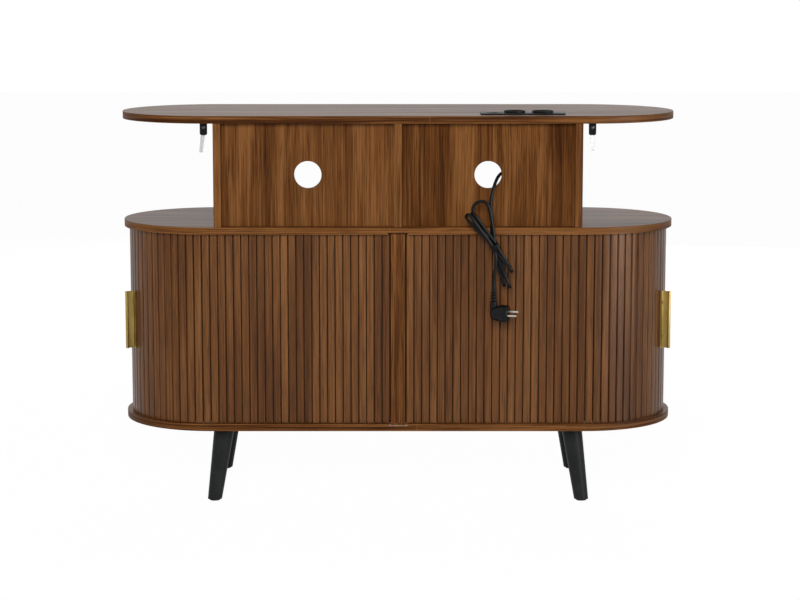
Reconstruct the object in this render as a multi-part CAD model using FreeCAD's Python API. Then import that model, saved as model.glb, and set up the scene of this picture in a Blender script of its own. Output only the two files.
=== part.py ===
import FreeCAD, Part
import math
import os

V = FreeCAD.Vector

# Driving dimensions of the cabinet, in millimetres
# The front faces -Y and the rear +Y; left and right are as seen from the front, so left is -X
width = 1200.0
depth = 400.0
board = 16.0
leg_height = 160.0
door_opening = 407.0
hutch_opening = 219.0
edge_round = 1.0

# Tambour doors
slat_inset = 11.0
slat_thickness = 9.0
slat_gap = 2.5
slat_chamfer = 1.2
arc_slats = 17
slats_per_link = 3
slat_end_clearance = 0.4
tongue_thickness = 5.0
tongue_height = 4.0
tongue_setback = 1.5
groove_depth = 5.0
groove_clearance = 0.5
strip_width = 30.0
notch_width = 43.0

# Edge pulls on the doors
slats_before_handle = 12
handle_height = 125.0
handle_rise = 3.5
handle_reach = 21.0
handle_sheet = 2.5
handle_bead = 2.6
flange_width = 12.0
flange_thickness = 2.0
pull_screw = 3.0
pull_screw_length = 6.0
pull_screw_head = 3.0
pull_screw_head_height = 1.4
pull_screw_inset = 25.0
screw_clearance = 0.1

# Hutch and inner carcass
hutch_side_inset = 10.5
hutch_rear_setback = 3.0
hutch_front_setback = 15.0
hutch_back_thickness = 12.0
hutch_back_recess = 20.0
cable_hole = 58.0
carcass_setback = 40.0
inner_back_thickness = 12.0
shelf_front_setback = 20.0
shelf_clearance = 1.0
shelf_pin = 5.0
shelf_pin_seat = 7.0
shelf_pin_reach = 8.0
shelf_pin_setback = 50.0
dowel = 8.0
dowel_seat = 11.0
dowel_clearance = 0.1
dowel_setback = 100.0

# Legs
leg_top_radius = 22.2
leg_foot_radius = 15.4
leg_inset_x = 24.0
leg_inset_y = 64.0
leg_splay = 21.0
glide_radius = 11.0
glide_height = 3.0
plate_side = 60.0
plate_thickness = 3.0
plate_screw_spacing = 44.0
plate_screw = 3.8
plate_screw_length = 12.0
plate_screw_head = 3.5
plate_screw_head_height = 2.2
stud = 8.0
stud_in_leg = 25.0
stud_in_board = 8.0

# Power outlet in the top board
outlet_side_gap = 23.0
outlet_rear_gap = 7.5
bezel_length = 180.0
bezel_width = 62.0
bezel_height = 3.0
bezel_corner = 6.0
cutout_margin = 4.0
housing_clearance = 0.5
housing_depth = 58.0
housing_wall = 2.5
socket_radius = 22.75
socket_rise = 4.5
socket_drop = 14.0
socket_well = 19.5
socket_well_depth = 17.0
socket_collar = 0.9
collar_height = 2.0
socket_offsets = (17.0, -43.0)
contact_hole = 2.6
contact_spacing = 19.0
insert_clearance = 0.25
usb_offset = 60.0
usb_length = 32.0
usb_width = 24.0
usb_rise = 0.6
usb_port_length = 12.6
usb_port_width = 5.2
usb_port_depth = 9.0
usb_port_spacing = 10.0

# Mains lead, its tied hank and its plug
cord = 7.0
gland_offset = 50.0
gland_length = 18.0
gland_top_radius = 7.0
gland_neck = 5.9
gland_hole_clearance = 0.1
gland_flange = 8.0
gland_flange_height = 2.0
hank_from_hole = V(-12.75, 41.0, -146.5)
hank_lean = 24.0
hank_step = 8.0
hank_straight = 8.0
# Each fold: reach from the waist, place across, place behind, turn out of the hank's plane, radius
lower_folds = (
    (86.0, 15.0, 2.0, 90.0, 12.0), (92.0, 5.0, 10.0, 90.0, 12.0), (62.0, -12.0, 20.0, 90.0, 12.0))
upper_folds = (
    (99.0, -5.5, 6.0, 6.0, 19.0), (84.0, 15.0, 23.0, 65.0, 12.0), (86.0, 25.0, 27.5, 60.0, 12.0))
lead_from_gland = ((0.2, 0.2, -17.0), (4.7, 6.0, -33.3), (14.5, 18.4, -45.6))
lead_from_hole = (
    (-13.0, 1.0, 1.2), (-11.0, 25.0, -19.0), (-7.5, 35.0, -43.0), (-7.0, 38.5, -68.0), (-10.2, 40.0, -92.0))
lead_into_hank = 18.5
tail_turn = 30.0
tail_drop = 16.0
tail_shift = 4.2
tail_straight_length = 22.0
plug_drop = 87.0
tie_height = 10.0
tie_wall = 1.6
tie_clearance = 0.3
tie_corner = 4.0
plug_radius = 18.5
plug_front = 18.0
plug_back = 20.0
plug_back_radius = 15.0
plug_neck_radius = 6.5
plug_neck_length = 10.0
plug_overhang = 14.3
relief_length = 24.0
relief_tip_radius = 4.6
pin_radius = 2.4
pin_length = 19.0
pin_spacing = 19.0
pin_tilt = 19.0
pin_seat = 8.0

# Tip restraints under the top board
restraint_offset = 20.0
restraint_setback = 14.0
restraint_width = 15.5
restraint_base = 22.0
restraint_drop = 25.0
restraint_sheet = 2.0
restraint_corner = 4.0
strap_width = 9.0
strap_tip_width = 7.0
strap_sheet = 1.2
strap_lap = 12.0
strap_length = 37.0
strap_leans = {-1: 2.5, 1: 7.0}

# Values that follow from the driving dimensions
end_radius = depth / 2
half_straight = width / 2 - end_radius
face_radius = end_radius - slat_inset
neutral_radius = face_radius - slat_thickness
track_radius = face_radius - slat_thickness / 2
quarter_run = math.pi / 2 * neutral_radius
pitch = quarter_run / arc_slats
slat_width = pitch - slat_gap
straight_slats = int((half_straight - strip_width / 2) / pitch)
bottom_top = leg_height + board
middle_z = bottom_top + door_opening
middle_top = middle_z + board
top_z = middle_top + hutch_opening
top_top = top_z + board
side_out = half_straight - hutch_side_inset
side_in = side_out - board
half_board = board / 2
hutch_rear = end_radius - hutch_rear_setback
hutch_front = hutch_front_setback - end_radius
back_rear = hutch_rear - hutch_back_recess
back_front = back_rear - hutch_back_thickness
bay_centre = (half_board + side_in) / 2
carcass_rear = end_radius - carcass_setback
carcass_front = -carcass_rear
hutch_dowel_offset = end_radius - dowel_setback
carcass_dowel_offset = carcass_rear - dowel_setback
leg_y = end_radius - leg_inset_y
hole_z = (middle_top + top_z) / 2
hole_centre = V(-bay_centre, (back_front + back_rear) / 2, hole_z)
hank_waist = hole_centre + hank_from_hole
cutout_length = bezel_length - 2 * cutout_margin
cutout_width = bezel_width - 2 * cutout_margin
housing_length = cutout_length - 2 * housing_clearance
housing_width = cutout_width - 2 * housing_clearance
outlet_x = outlet_side_gap + housing_length / 2 - side_in
outlet_y = back_front - outlet_rear_gap - housing_width / 2
gland_x = hole_centre.x - gland_offset
restraint_x = side_out + restraint_offset
restraint_y = end_radius - restraint_setback
inner_back_front = carcass_rear - inner_back_thickness
cord_radius = cord / 2


def box(x0, x1, y0, y1, z0, z1):
    return Part.makeBox(x1 - x0, y1 - y0, z1 - z0, V(x0, y0, z0))


def rod(radius, start, end):
    return Part.makeCylinder(radius, (end - start).Length, start, end - start)


def stadium(radius, z, height):
    signs = ((-1, -1), (1, -1), (1, 1), (-1, 1))
    corners = [V(sx * half_straight, sy * radius, z) for sx, sy in signs]
    front = Part.LineSegment(corners[0], corners[1]).toShape()
    right = Part.Arc(corners[1], V(half_straight + radius, 0, z), corners[2]).toShape()
    rear = Part.LineSegment(corners[2], corners[3]).toShape()
    left = Part.Arc(corners[3], V(-half_straight - radius, 0, z), corners[0]).toShape()
    return Part.Face(Part.Wire([front, right, rear, left])).extrude(V(0, 0, height))


def rounded_plate(x, y, z, length, breadth, height, corner):
    plate = box(x - length / 2, x + length / 2, y - breadth / 2, y + breadth / 2, z, z + height)
    upright = [e for e in plate.Edges if abs(e.Vertexes[0].Z - e.Vertexes[1].Z) > height / 2]
    return plate.makeFillet(corner, upright)


def stadium_board(z):
    slab = stadium(end_radius, z, board)
    outline = [e for e in slab.Edges if e.BoundBox.ZLength < edge_round / 10]
    return slab.makeFillet(edge_round, outline)


def cut_all(shape, tools):
    for tool in tools:
        shape = shape.cut(tool)
    return shape


def moved(shape, x, y, z):
    copy = shape.copy()
    copy.translate(V(x, y, z))
    return copy


nodes = {}


def keep(name, solids):
    nodes[name] = solids if isinstance(solids, list) else [solids]


# Dowels that join the uprights to the boards
def dowel_pair(x, z, offset, clearance):
    reach = V(0, 0, dowel_seat + clearance)
    return [rod(dowel / 2 + clearance, V(x, y, z) - reach, V(x, y, z) + reach) for y in (-offset, offset)]


upright_x = (-side_in - half_board, 0.0, side_in + half_board)
dowel_rows = [(z, hutch_dowel_offset) for z in (middle_top, top_z)]
dowel_rows += [(z, carcass_dowel_offset) for z in (bottom_top, middle_z)]
dowels = [d for z, offset in dowel_rows for x in upright_x for d in dowel_pair(x, z, offset, 0.0)]
dowel_holes = [
    d for z, offset in dowel_rows for x in upright_x for d in dowel_pair(x, z, offset, dowel_clearance)]
keep("carcass_dowels", dowels)


# Track grooves and the insertion notches at the rear, in the bottom and middle boards
groove_half = tongue_thickness / 2 + groove_clearance


def track(z):
    outer = stadium(track_radius + groove_half, z, groove_depth)
    groove = outer.cut(stadium(track_radius - groove_half, z, groove_depth))
    notch_front = track_radius - groove_half
    notch = box(-notch_width / 2, notch_width / 2, notch_front, end_radius + board, z, z + groove_depth)
    return groove.fuse(notch)


# Legs with their plates, studs, screws and glides
leg_top = leg_height - plate_thickness
leg_x = half_straight - leg_inset_x
leg_corners = {
    "front_left": (-1, -1),
    "front_right": (1, -1),
    "rear_left": (-1, 1),
    "rear_right": (1, 1),
}
plates = []
plate_screws = []
studs = []
glides = []
board_holes = []
for corner, (sx, sy) in leg_corners.items():
    head = V(sx * leg_x, sy * leg_y, leg_top)
    foot = V(sx * (leg_x + leg_splay), sy * (leg_y + leg_splay), glide_height)
    ends = ((leg_foot_radius, foot), (leg_top_radius, head))
    circles = [Part.Wire(Part.makeCircle(radius, centre, V(0, 0, 1))) for radius, centre in ends]
    leg = Part.makeLoft(circles, True, True)
    rise = V(0, 0, plate_thickness + stud_in_board)
    drop = V(0, 0, stud_in_leg)
    grown = V(0, 0, screw_clearance)
    stud_hole = rod(stud / 2 + screw_clearance, head - drop - grown, head + rise + grown)
    studs.append(rod(stud / 2, head - drop, head + rise))
    keep("leg_" + corner, leg.cut(stud_hole))
    plate = rounded_plate(head.x, head.y, leg_top, plate_side, plate_side, plate_thickness, bezel_corner)
    board_holes.append(stud_hole)
    plate_holes = [stud_hole]
    for dx in (-plate_screw_spacing / 2, plate_screw_spacing / 2):
        for dy in (-plate_screw_spacing / 2, plate_screw_spacing / 2):
            seat = head + V(dx, dy, 0)
            tip = seat + V(0, 0, plate_screw_length)
            shank = rod(plate_screw / 2, seat, tip)
            cap = rod(plate_screw_head, seat - V(0, 0, plate_screw_head_height), seat)
            plate_screws.append(shank.fuse(cap))
            plate_holes.append(rod(plate_screw / 2 + screw_clearance, seat, tip + grown))
    plates.append(cut_all(plate, plate_holes))
    board_holes += plate_holes
    glides.append(rod(glide_radius, foot - V(0, 0, glide_height), foot))
keep("leg_plates", plates)
keep("leg_plate_screws", plate_screws)
keep("leg_studs", studs)
keep("foot_glides", glides)

# Boards
bottom_cuts = [track(bottom_top - groove_depth)] + dowel_holes + board_holes
keep("bottom_board", cut_all(stadium_board(leg_height), bottom_cuts))
keep("middle_board", cut_all(stadium_board(middle_z), [track(middle_z)] + dowel_holes))
outlet_cutout = box(
    outlet_x - cutout_length / 2, outlet_x + cutout_length / 2,
    outlet_y - cutout_width / 2, outlet_y + cutout_width / 2, top_z, top_top)
keep("top_board", cut_all(stadium_board(top_z), [outlet_cutout] + dowel_holes))

# Hutch uprights and recessed back panels
for name, x in zip(("hutch_side_left", "hutch_divider", "hutch_side_right"), upright_x):
    upright = box(x - half_board, x + half_board, hutch_front, hutch_rear, middle_top, top_z)
    keep(name, cut_all(upright, dowel_holes))
for name, side in (("hutch_back_left", -1), ("hutch_back_right", 1)):
    low_x, high_x = sorted((side * half_board, side * side_in))
    panel = box(low_x, high_x, back_front, back_rear, middle_top, top_z)
    hole_x = side * bay_centre
    hole = rod(cable_hole / 2, V(hole_x, back_front, hole_z), V(hole_x, back_rear, hole_z))
    keep(name, panel.cut(hole))

# Inner carcass that carries the middle board, with shelves on pins
shelf_z = bottom_top + (door_opening - board) / 2
pin_z = shelf_z - shelf_pin / 2
pin_y = (carcass_front + shelf_pin_setback, inner_back_front - shelf_pin_setback)
pins = []
pin_holes = []
for wall_x, inward in ((-side_in, 1), (-half_board, -1), (half_board, 1), (side_in, -1)):
    for y in pin_y:
        seat = V(wall_x - inward * shelf_pin_seat, y, pin_z)
        tip = V(wall_x + inward * shelf_pin_reach, y, pin_z)
        pins.append(rod(shelf_pin / 2, seat, tip))
        pin_holes.append(rod(shelf_pin / 2 + screw_clearance, seat - V(inward * screw_clearance, 0, 0), tip))
keep("shelf_pins", pins)
for name, x in zip(("inner_side_left", "inner_divider", "inner_side_right"), upright_x):
    rear = inner_back_front if name == "inner_divider" else carcass_rear
    upright = box(x - half_board, x + half_board, carcass_front, rear, bottom_top, middle_z)
    keep(name, cut_all(upright, dowel_holes + pin_holes))
keep("inner_back_panel", box(-side_in, side_in, inner_back_front, carcass_rear, bottom_top, middle_z))
for name, side in (("shelf_left", -1), ("shelf_right", 1)):
    low_x, high_x = sorted((side * (half_board + shelf_clearance), side * (side_in - shelf_clearance)))
    shelf_front = carcass_front + shelf_front_setback
    keep(name, box(low_x, high_x, shelf_front, inner_back_front - shelf_clearance, shelf_z, shelf_z + board))

# Rear stop strip, seated in both notches
strip_rear = face_radius
strip_front = face_radius - slat_thickness
strip_tongue = box(
    -strip_width / 2, strip_width / 2,
    track_radius - tongue_thickness / 2, track_radius + tongue_thickness / 2,
    bottom_top - groove_depth, middle_z + groove_depth)
strip_face = box(-strip_width / 2, strip_width / 2, strip_front, strip_rear, bottom_top, middle_z)
keep("rear_stop_strip", strip_face.fuse(strip_tongue).removeSplitter())

# One slat, standing on the track with its inner face on the X axis and its outer face towards +Y
slat_low = bottom_top + slat_end_clearance
slat_high = middle_z - slat_end_clearance


def slat(with_tongue):
    half = slat_width / 2
    outline = [
        V(-half, 0, slat_low), V(half, 0, slat_low),
        V(half, slat_thickness - slat_chamfer, slat_low), V(half - slat_chamfer, slat_thickness, slat_low),
        V(slat_chamfer - half, slat_thickness, slat_low), V(-half, slat_thickness - slat_chamfer, slat_low),
    ]
    body = Part.Face(Part.makePolygon(outline + outline[:1])).extrude(V(0, 0, slat_high - slat_low))
    if not with_tongue:
        return body
    reach = half - tongue_setback
    inner = (slat_thickness - tongue_thickness) / 2
    outer = inner + tongue_thickness
    tongue = box(-reach, reach, inner, outer, slat_low - tongue_height, slat_high + tongue_height)
    return body.fuse(tongue).removeSplitter()


def on_straight(shape, side, index):
    return moved(shape, side * (half_straight - (index + 0.5) * pitch), neutral_radius, 0)


def on_arc(shape, side, index):
    copy = moved(shape, 0, neutral_radius, 0)
    copy.rotate(V(0, 0, 0), V(0, 0, 1), -side * 90.0 * (index + 0.5) / arc_slats)
    copy.translate(V(side * half_straight, 0, 0))
    return copy


# Edge pull: a flange on the slat, a lip that stands out from it and a bead along the lip
handle_mid = (slat_low + slat_high) / 2 + handle_rise
handle_low = handle_mid - handle_height / 2
handle_high = handle_mid + handle_height / 2
pull_z = (handle_low + pull_screw_inset, handle_high - pull_screw_inset)
flange_top = slat_thickness + flange_thickness
screw_tip = V(0, flange_top - pull_screw_length, 0)


def pull_screw_holes():
    along = V(0, screw_clearance, 0)
    return [
        rod(pull_screw / 2 + screw_clearance, screw_tip + V(0, 0, z) - along, V(0, flange_top, z) + along)
        for z in pull_z]


def pull(side):
    start, end = sorted((side * -flange_width / 2, side * flange_width / 2))
    flange = box(start, end, slat_thickness, flange_top, handle_low, handle_high)
    lip_edge = side * flange_width / 2
    lip_start, lip_end = sorted((lip_edge, lip_edge - side * handle_sheet))
    lip_top = slat_thickness + handle_reach - handle_bead
    lip = box(lip_start, lip_end, slat_thickness, lip_top, handle_low, handle_high)
    bead_x = lip_edge - side * handle_sheet / 2
    bead = rod(handle_bead, V(bead_x, lip_top, handle_low), V(bead_x, lip_top, handle_high))
    return cut_all(flange.fuse([lip, bead]).removeSplitter(), pull_screw_holes())


def pull_screws():
    screws = []
    for z in pull_z:
        shank = rod(pull_screw / 2, screw_tip + V(0, 0, z), V(0, flange_top, z))
        head = rod(pull_screw_head, V(0, flange_top, z), V(0, flange_top + pull_screw_head_height, z))
        screws.append(shank.fuse(head))
    return screws


# Each door: slats on the end's arc, links of slats that follow on the straight run, and the tail
plain_slat = slat(False)
track_slat = slat(True)
for door, side in (("left_door", -1), ("right_door", 1)):
    arc_run = [on_arc(track_slat, side, k) for k in range(arc_slats)]
    screw_holes = [on_arc(hole, side, slats_before_handle) for hole in pull_screw_holes()]
    arc_run[slats_before_handle] = cut_all(arc_run[slats_before_handle], screw_holes)
    keep(door + "_arc_slats", arc_run)
    link_slats = range(min(arc_slats, straight_slats))
    for number, first in enumerate(link_slats[::slats_per_link], 1):
        members = link_slats[first:first + slats_per_link]
        keep(door + "_link_" + str(number), [on_straight(plain_slat, side, k) for k in members])
    tail_slats = range(arc_slats, straight_slats)
    keep(door + "_tail_slats", [on_straight(track_slat, side, k) for k in tail_slats])
    keep(door + "_pull", on_arc(pull(side), side, slats_before_handle))
    keep(door + "_pull_screws", [on_arc(s, side, slats_before_handle) for s in pull_screws()])

# Power outlet: housing in the cutout, bezel on the board, two socket inserts and a charging module
housing_z = top_top - housing_depth


def outlet_box(length, breadth, z0, z1, offset=0.0, across=0.0):
    x = outlet_x + offset
    y = outlet_y + across
    return box(x - length / 2, x + length / 2, y - breadth / 2, y + breadth / 2, z0, z1)


def outlet_rod(radius, z0, z1, offset):
    return rod(radius, V(outlet_x + offset, outlet_y, z0), V(outlet_x + offset, outlet_y, z1))


gland_top = V(gland_x, outlet_y, housing_z)
gland_hole = rod(gland_neck + gland_hole_clearance, gland_top, gland_top + V(0, 0, housing_wall))
housing = outlet_box(housing_length, housing_width, housing_z, top_top)
hollow = outlet_box(
    housing_length - 2 * housing_wall, housing_width - 2 * housing_wall, housing_z + housing_wall, top_top)
keep("outlet_housing", cut_all(housing, [hollow, gland_hole]))
bezel_top = top_top + bezel_height
bezel = rounded_plate(outlet_x, outlet_y, top_top, bezel_length, bezel_width, bezel_height, bezel_corner)
bezel_rim = [e for e in bezel.Edges if e.BoundBox.ZMin > bezel_top - edge_round / 10]
bezel = bezel.makeFillet(edge_round, bezel_rim)
window_radius = socket_radius + insert_clearance
windows = [outlet_rod(window_radius, top_top, bezel_top, offset) for offset in socket_offsets]
usb_window = outlet_box(
    usb_length + 2 * insert_clearance, usb_width + 2 * insert_clearance, top_top, bezel_top, usb_offset)
keep("outlet_bezel", cut_all(bezel, windows + [usb_window]))
socket_top = bezel_top + socket_rise
for name, offset in zip(("outlet_socket_a", "outlet_socket_b"), socket_offsets):
    shell = outlet_rod(socket_radius, top_top - socket_drop, socket_top, offset)
    collar = outlet_rod(socket_radius + socket_collar, top_top - collar_height, top_top, offset)
    well = outlet_rod(socket_well, socket_top - socket_well_depth, socket_top, offset)
    contacts = [
        outlet_rod(contact_hole, top_top - socket_drop, socket_top, offset + dx)
        for dx in (-contact_spacing / 2, contact_spacing / 2)]
    keep(name, cut_all(shell.fuse(collar), [well] + contacts))
usb_top = bezel_top + usb_rise
usb_body = outlet_box(usb_length, usb_width, top_top - socket_drop, usb_top, usb_offset)
usb_flange = outlet_box(
    usb_length + 4 * socket_collar, usb_width + 4 * socket_collar,
    top_top - collar_height, top_top, usb_offset)
ports = [
    outlet_box(usb_port_length, usb_port_width, usb_top - usb_port_depth, usb_top, usb_offset, dy)
    for dy in (-usb_port_spacing / 2, usb_port_spacing / 2)]
keep("outlet_usb_module", cut_all(usb_body.fuse(usb_flange), ports))

# Gland under the housing, out of which the lead comes
gland_end = gland_top - V(0, 0, gland_length)
gland_cone = Part.makeCone(relief_tip_radius, gland_top_radius, gland_length, gland_end, V(0, 0, 1))
inside = gland_top + V(0, 0, housing_wall)
gland_flange_solid = rod(gland_flange, inside, inside + V(0, 0, gland_flange_height))
keep("cord_gland", gland_cone.fuse([rod(gland_neck, gland_top, inside), gland_flange_solid]))


# Hank: loops that pass the tied waist and climb one layer on each run upwards
def sway(start, end):
    # Two equal arcs from start to end, both tangent to the hank's axis where they begin and end
    middle = (start + end) * 0.5
    across = V(end.x - start.x, end.y - start.y, 0) * 0.5
    if across.Length < tie_clearance / 10:
        return [Part.LineSegment(start, end).toShape()]
    along = V(0, 0, end.z - start.z) * 0.5
    radius = (along.Length ** 2 + across.Length ** 2) / (2 * across.Length)
    half_angle = math.atan2(across.Length, along.Length)
    step = V(along).normalize() * (radius * math.sin(half_angle))
    shift = V(across).normalize() * (radius * (1 - math.cos(half_angle)))
    return [
        Part.Arc(start, start + step + shift, middle).toShape(),
        Part.Arc(middle, end - step - shift, end).toShape()]


def fold(centre, sideways, apex):
    # Half a turn from one side of the loop to the other, as two quarter arcs
    slant = (apex - sideways) * (0.5 ** 0.5)
    other = (apex + sideways) * (0.5 ** 0.5)
    first = Part.Arc(centre - sideways, centre + slant, centre + apex).toShape()
    second = Part.Arc(centre + apex, centre + other, centre + sideways).toShape()
    return [first, second]


def fold_places(size, sign):
    # Where a fold's centre lies, and from it, the side where the cord leaves the fold and its apex
    reach, across, behind, turned_out, radius = size
    turn = math.radians(turned_out)
    centre = V(across, behind, sign * (reach - radius))
    sideways = V(-sign * math.cos(turn), math.sin(turn), 0) * radius
    return centre, sideways, V(0, 0, sign * radius)


def hank_edges():
    half = hank_step / 2
    edges = []
    here = V(-half, 0, hank_straight)
    for loop, (low, high) in enumerate(zip(lower_folds, upper_folds)):
        layer = loop * hank_step
        last = loop == len(lower_folds) - 1
        passed = V(-half, layer, -hank_straight)
        edges.append(Part.LineSegment(here, passed).toShape())
        centre, sideways, apex = fold_places(low, -1)
        edges += sway(passed, centre - sideways)
        edges += fold(centre, sideways, apex)
        rising = V(half, layer + half, -hank_straight)
        risen = V(half, layer + half, hank_straight)
        edges += sway(centre + sideways, rising)
        edges.append(Part.LineSegment(rising, risen).toShape())
        centre, sideways, apex = fold_places(high, 1)
        edges += sway(risen, centre - sideways)
        edges += fold(centre, sideways, apex)
        here = V(-half, layer + hank_step, hank_straight)
        if last:
            here = V(half, layer + hank_step + half, hank_straight)
        edges += sway(centre + sideways, here)
    leaving = here - V(0, 0, 2 * hank_straight)
    edges.append(Part.LineSegment(here, leaving).toShape())
    # From the waist the tail turns until it hangs straight down
    bends = [math.radians(hank_lean) * share for share in (0.5, 1.0)]
    turned = [leaving + V(1 - math.cos(bend), 0, -math.sin(bend)) * tail_turn for bend in bends]
    edges.append(Part.Arc(leaving, turned[0], turned[1]).toShape())
    return edges


def least_self_gap(wire, clear_of):
    step = cord / 5
    points = wire.discretize(Distance=step)
    apart = int(clear_of / step)
    nearest = min(
        points[i].distanceToPoint(points[j])
        for i in range(len(points)) for j in range(i + apart, len(points)))
    return nearest - cord


def to_hank(point):
    turned = FreeCAD.Rotation(V(0, 1, 0), hank_lean).multVec(point)
    return turned + hank_waist


def set_in_hank(shape):
    shape.rotate(V(0, 0, 0), V(0, 1, 0), hank_lean)
    shape.translate(hank_waist)
    return shape


hank_wire = Part.Wire(hank_edges())
hank_start = hank_wire.OrderedVertexes[0].Point
hank_end = hank_wire.OrderedVertexes[-1].Point
hank_ring = Part.Wire(Part.makeCircle(cord_radius, hank_start, V(0, 0, -1)))
hank_tube = hank_wire.makePipeShell([hank_ring], True, False)
hank_gap = least_self_gap(hank_wire, 3 * cord)
print("hank length", round(hank_wire.Length, 1), "least gap to itself", round(hank_gap, 2))
hank_share = hank_tube.Volume / (math.pi * cord_radius ** 2 * hank_wire.Length)
print("hank volume over section times length", round(hank_share, 4))
keep("cord_hank", set_in_hank(hank_tube))

# Tie round the waist
waist_half = hank_step / 2 + cord_radius + tie_clearance
waist_depth = len(lower_folds) * hank_step + hank_step / 2 + cord_radius + tie_clearance
waist_front = -cord_radius - tie_clearance


def tie_block(grow, corner):
    side = waist_half + grow
    block = box(-side, side, waist_front - grow, waist_depth + grow, -tie_height / 2, tie_height / 2)
    along = [e for e in block.Edges if abs(e.Vertexes[0].Z - e.Vertexes[1].Z) > tie_height / 2]
    return block.makeFillet(corner, along)


keep("cord_tie", set_in_hank(tie_block(tie_wall, tie_corner).cut(tie_block(0, tie_corner - tie_wall))))


# Free stretches of the lead: straight runs joined by arcs as large as the runs allow
def cord_tube(name, points):
    edges = []
    radii = []
    here = points[0]
    for before, at, after in zip(points, points[1:], points[2:]):
        along = (at - before).normalize()
        onward = (after - at).normalize()
        half_turn = along.getAngle(onward) / 2
        reach = 0.45 * min(before.distanceToPoint(at), at.distanceToPoint(after))
        radius = reach / math.tan(half_turn)
        inward = (onward - along).normalize()
        middle = at + inward * (radius / math.cos(half_turn) - radius)
        edges.append(Part.LineSegment(here, at - along * reach).toShape())
        edges.append(Part.Arc(at - along * reach, middle, at + onward * reach).toShape())
        here = at + onward * reach
        radii.append(round(radius))
    edges.append(Part.LineSegment(here, points[-1]).toShape())
    path = Part.Wire(edges)
    ring = Part.Wire(Part.makeCircle(cord_radius, points[0], points[1] - points[0]))
    tube = path.makePipeShell([ring], True, False)
    share = tube.Volume / (math.pi * cord_radius ** 2 * path.Length)
    print(name, "radii", radii, "length", round(path.Length, 1), "volume share", round(share, 4))
    keep(name, tube)


hank_axis = to_hank(V(0, 0, 1)) - hank_waist
lead_end = to_hank(hank_start)
lead = [gland_end]
lead += [gland_end + V(*offset) for offset in lead_from_gland]
lead += [hole_centre + V(*offset) for offset in lead_from_hole]
lead += [lead_end + hank_axis * lead_into_hank, lead_end]
cord_tube("cord_lead", lead)
tail_start = to_hank(hank_end)
tail_swing = tail_start - V(0, 0, tail_drop)
plug_top = V(tail_start.x + tail_shift, tail_start.y, hank_waist.z - plug_drop)
cord_tube("cord_tail", [tail_start, tail_swing, plug_top + V(0, 0, tail_straight_length), plug_top])

# Right-angle plug: round front with two pins, tapered back, neck and moulded strain relief
plug_z = plug_top.z - relief_length - plug_neck_length - plug_radius
plug_axis = V(-1, 0, 0)
plug_mid = V(plug_top.x, plug_top.y, plug_z)
front_start = plug_mid + plug_axis * plug_overhang
plug_front_solid = rod(plug_radius, front_start, front_start + plug_axis * plug_front)
plug_back_solid = Part.makeCone(plug_radius, plug_back_radius, plug_back, front_start, plug_axis * -1)
neck = rod(plug_neck_radius, plug_mid, plug_top - V(0, 0, relief_length))
relief = Part.makeCone(
    plug_neck_radius, relief_tip_radius, relief_length, plug_top - V(0, 0, relief_length), V(0, 0, 1))
plug_face = front_start + plug_axis * plug_front
pin_offset = FreeCAD.Rotation(V(1, 0, 0), pin_tilt).multVec(V(0, pin_spacing / 2, 0))
plug_pins = []
pin_sockets = []
for offset in (pin_offset, pin_offset * -1):
    root = plug_face + offset - plug_axis * pin_seat
    shaft = rod(pin_radius, root, plug_face + offset + plug_axis * (pin_length - pin_radius))
    tip = Part.makeSphere(pin_radius, plug_face + offset + plug_axis * (pin_length - pin_radius))
    plug_pins.append(shaft.fuse(tip).removeSplitter())
    pin_sockets.append(rod(pin_radius, root, plug_face + offset))
plug = plug_front_solid.fuse([plug_back_solid, neck, relief]).removeSplitter()
keep("plug_body", cut_all(plug, pin_sockets))
keep("plug_pins", plug_pins)

# Tip restraints: a bent bracket under each overhang of the top board, with a strap on it
brackets = []
straps = []
for side, lean in strap_leans.items():
    x = side * restraint_x
    half = restraint_width / 2
    tab_low = top_z - restraint_drop
    base = box(x - half, x + half, restraint_y - restraint_base, restraint_y, top_z - restraint_sheet, top_z)
    tab = box(x - half, x + half, restraint_y - restraint_sheet, restraint_y, tab_low, top_z)
    low_edges = [e for e in tab.Edges if e.BoundBox.ZMax < tab_low + edge_round]
    corners = [e for e in low_edges if e.BoundBox.XLength < edge_round]
    brackets.append(base.fuse(tab.makeFillet(restraint_corner, corners)).removeSplitter())
    lap_top = tab_low + strap_lap
    tip_z = tab_low - strap_length
    strap_y = restraint_y - restraint_sheet - strap_sheet
    outline = [
        V(x - strap_width / 2, strap_y, lap_top), V(x + strap_width / 2, strap_y, lap_top),
        V(x + strap_tip_width / 2, strap_y, tip_z), V(x - strap_tip_width / 2, strap_y, tip_z)]
    strap = Part.Face(Part.makePolygon(outline + outline[:1])).extrude(V(0, strap_sheet, 0))
    strap.rotate(V(x, strap_y, lap_top), V(0, 1, 0), -side * lean)
    straps.append(strap)
keep("tip_brackets", brackets)
keep("tip_straps", straps)

os.makedirs("parts", exist_ok=True)
for name, solids in nodes.items():
    shape = solids[0] if len(solids) == 1 else Part.makeCompound(solids)
    if not shape.isValid():
        print("invalid shape", name)
    shape.exportStep("parts/" + name + ".step")
print(len(nodes), "nodes,", sum(len(s) for s in nodes.values()), "pieces")
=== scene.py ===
import math
import random

import bpy
from bpy.props import FloatProperty, FloatVectorProperty, IntProperty, PointerProperty
from bpy.types import Operator, Panel, PropertyGroup
from mathutils import Matrix, Vector


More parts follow.
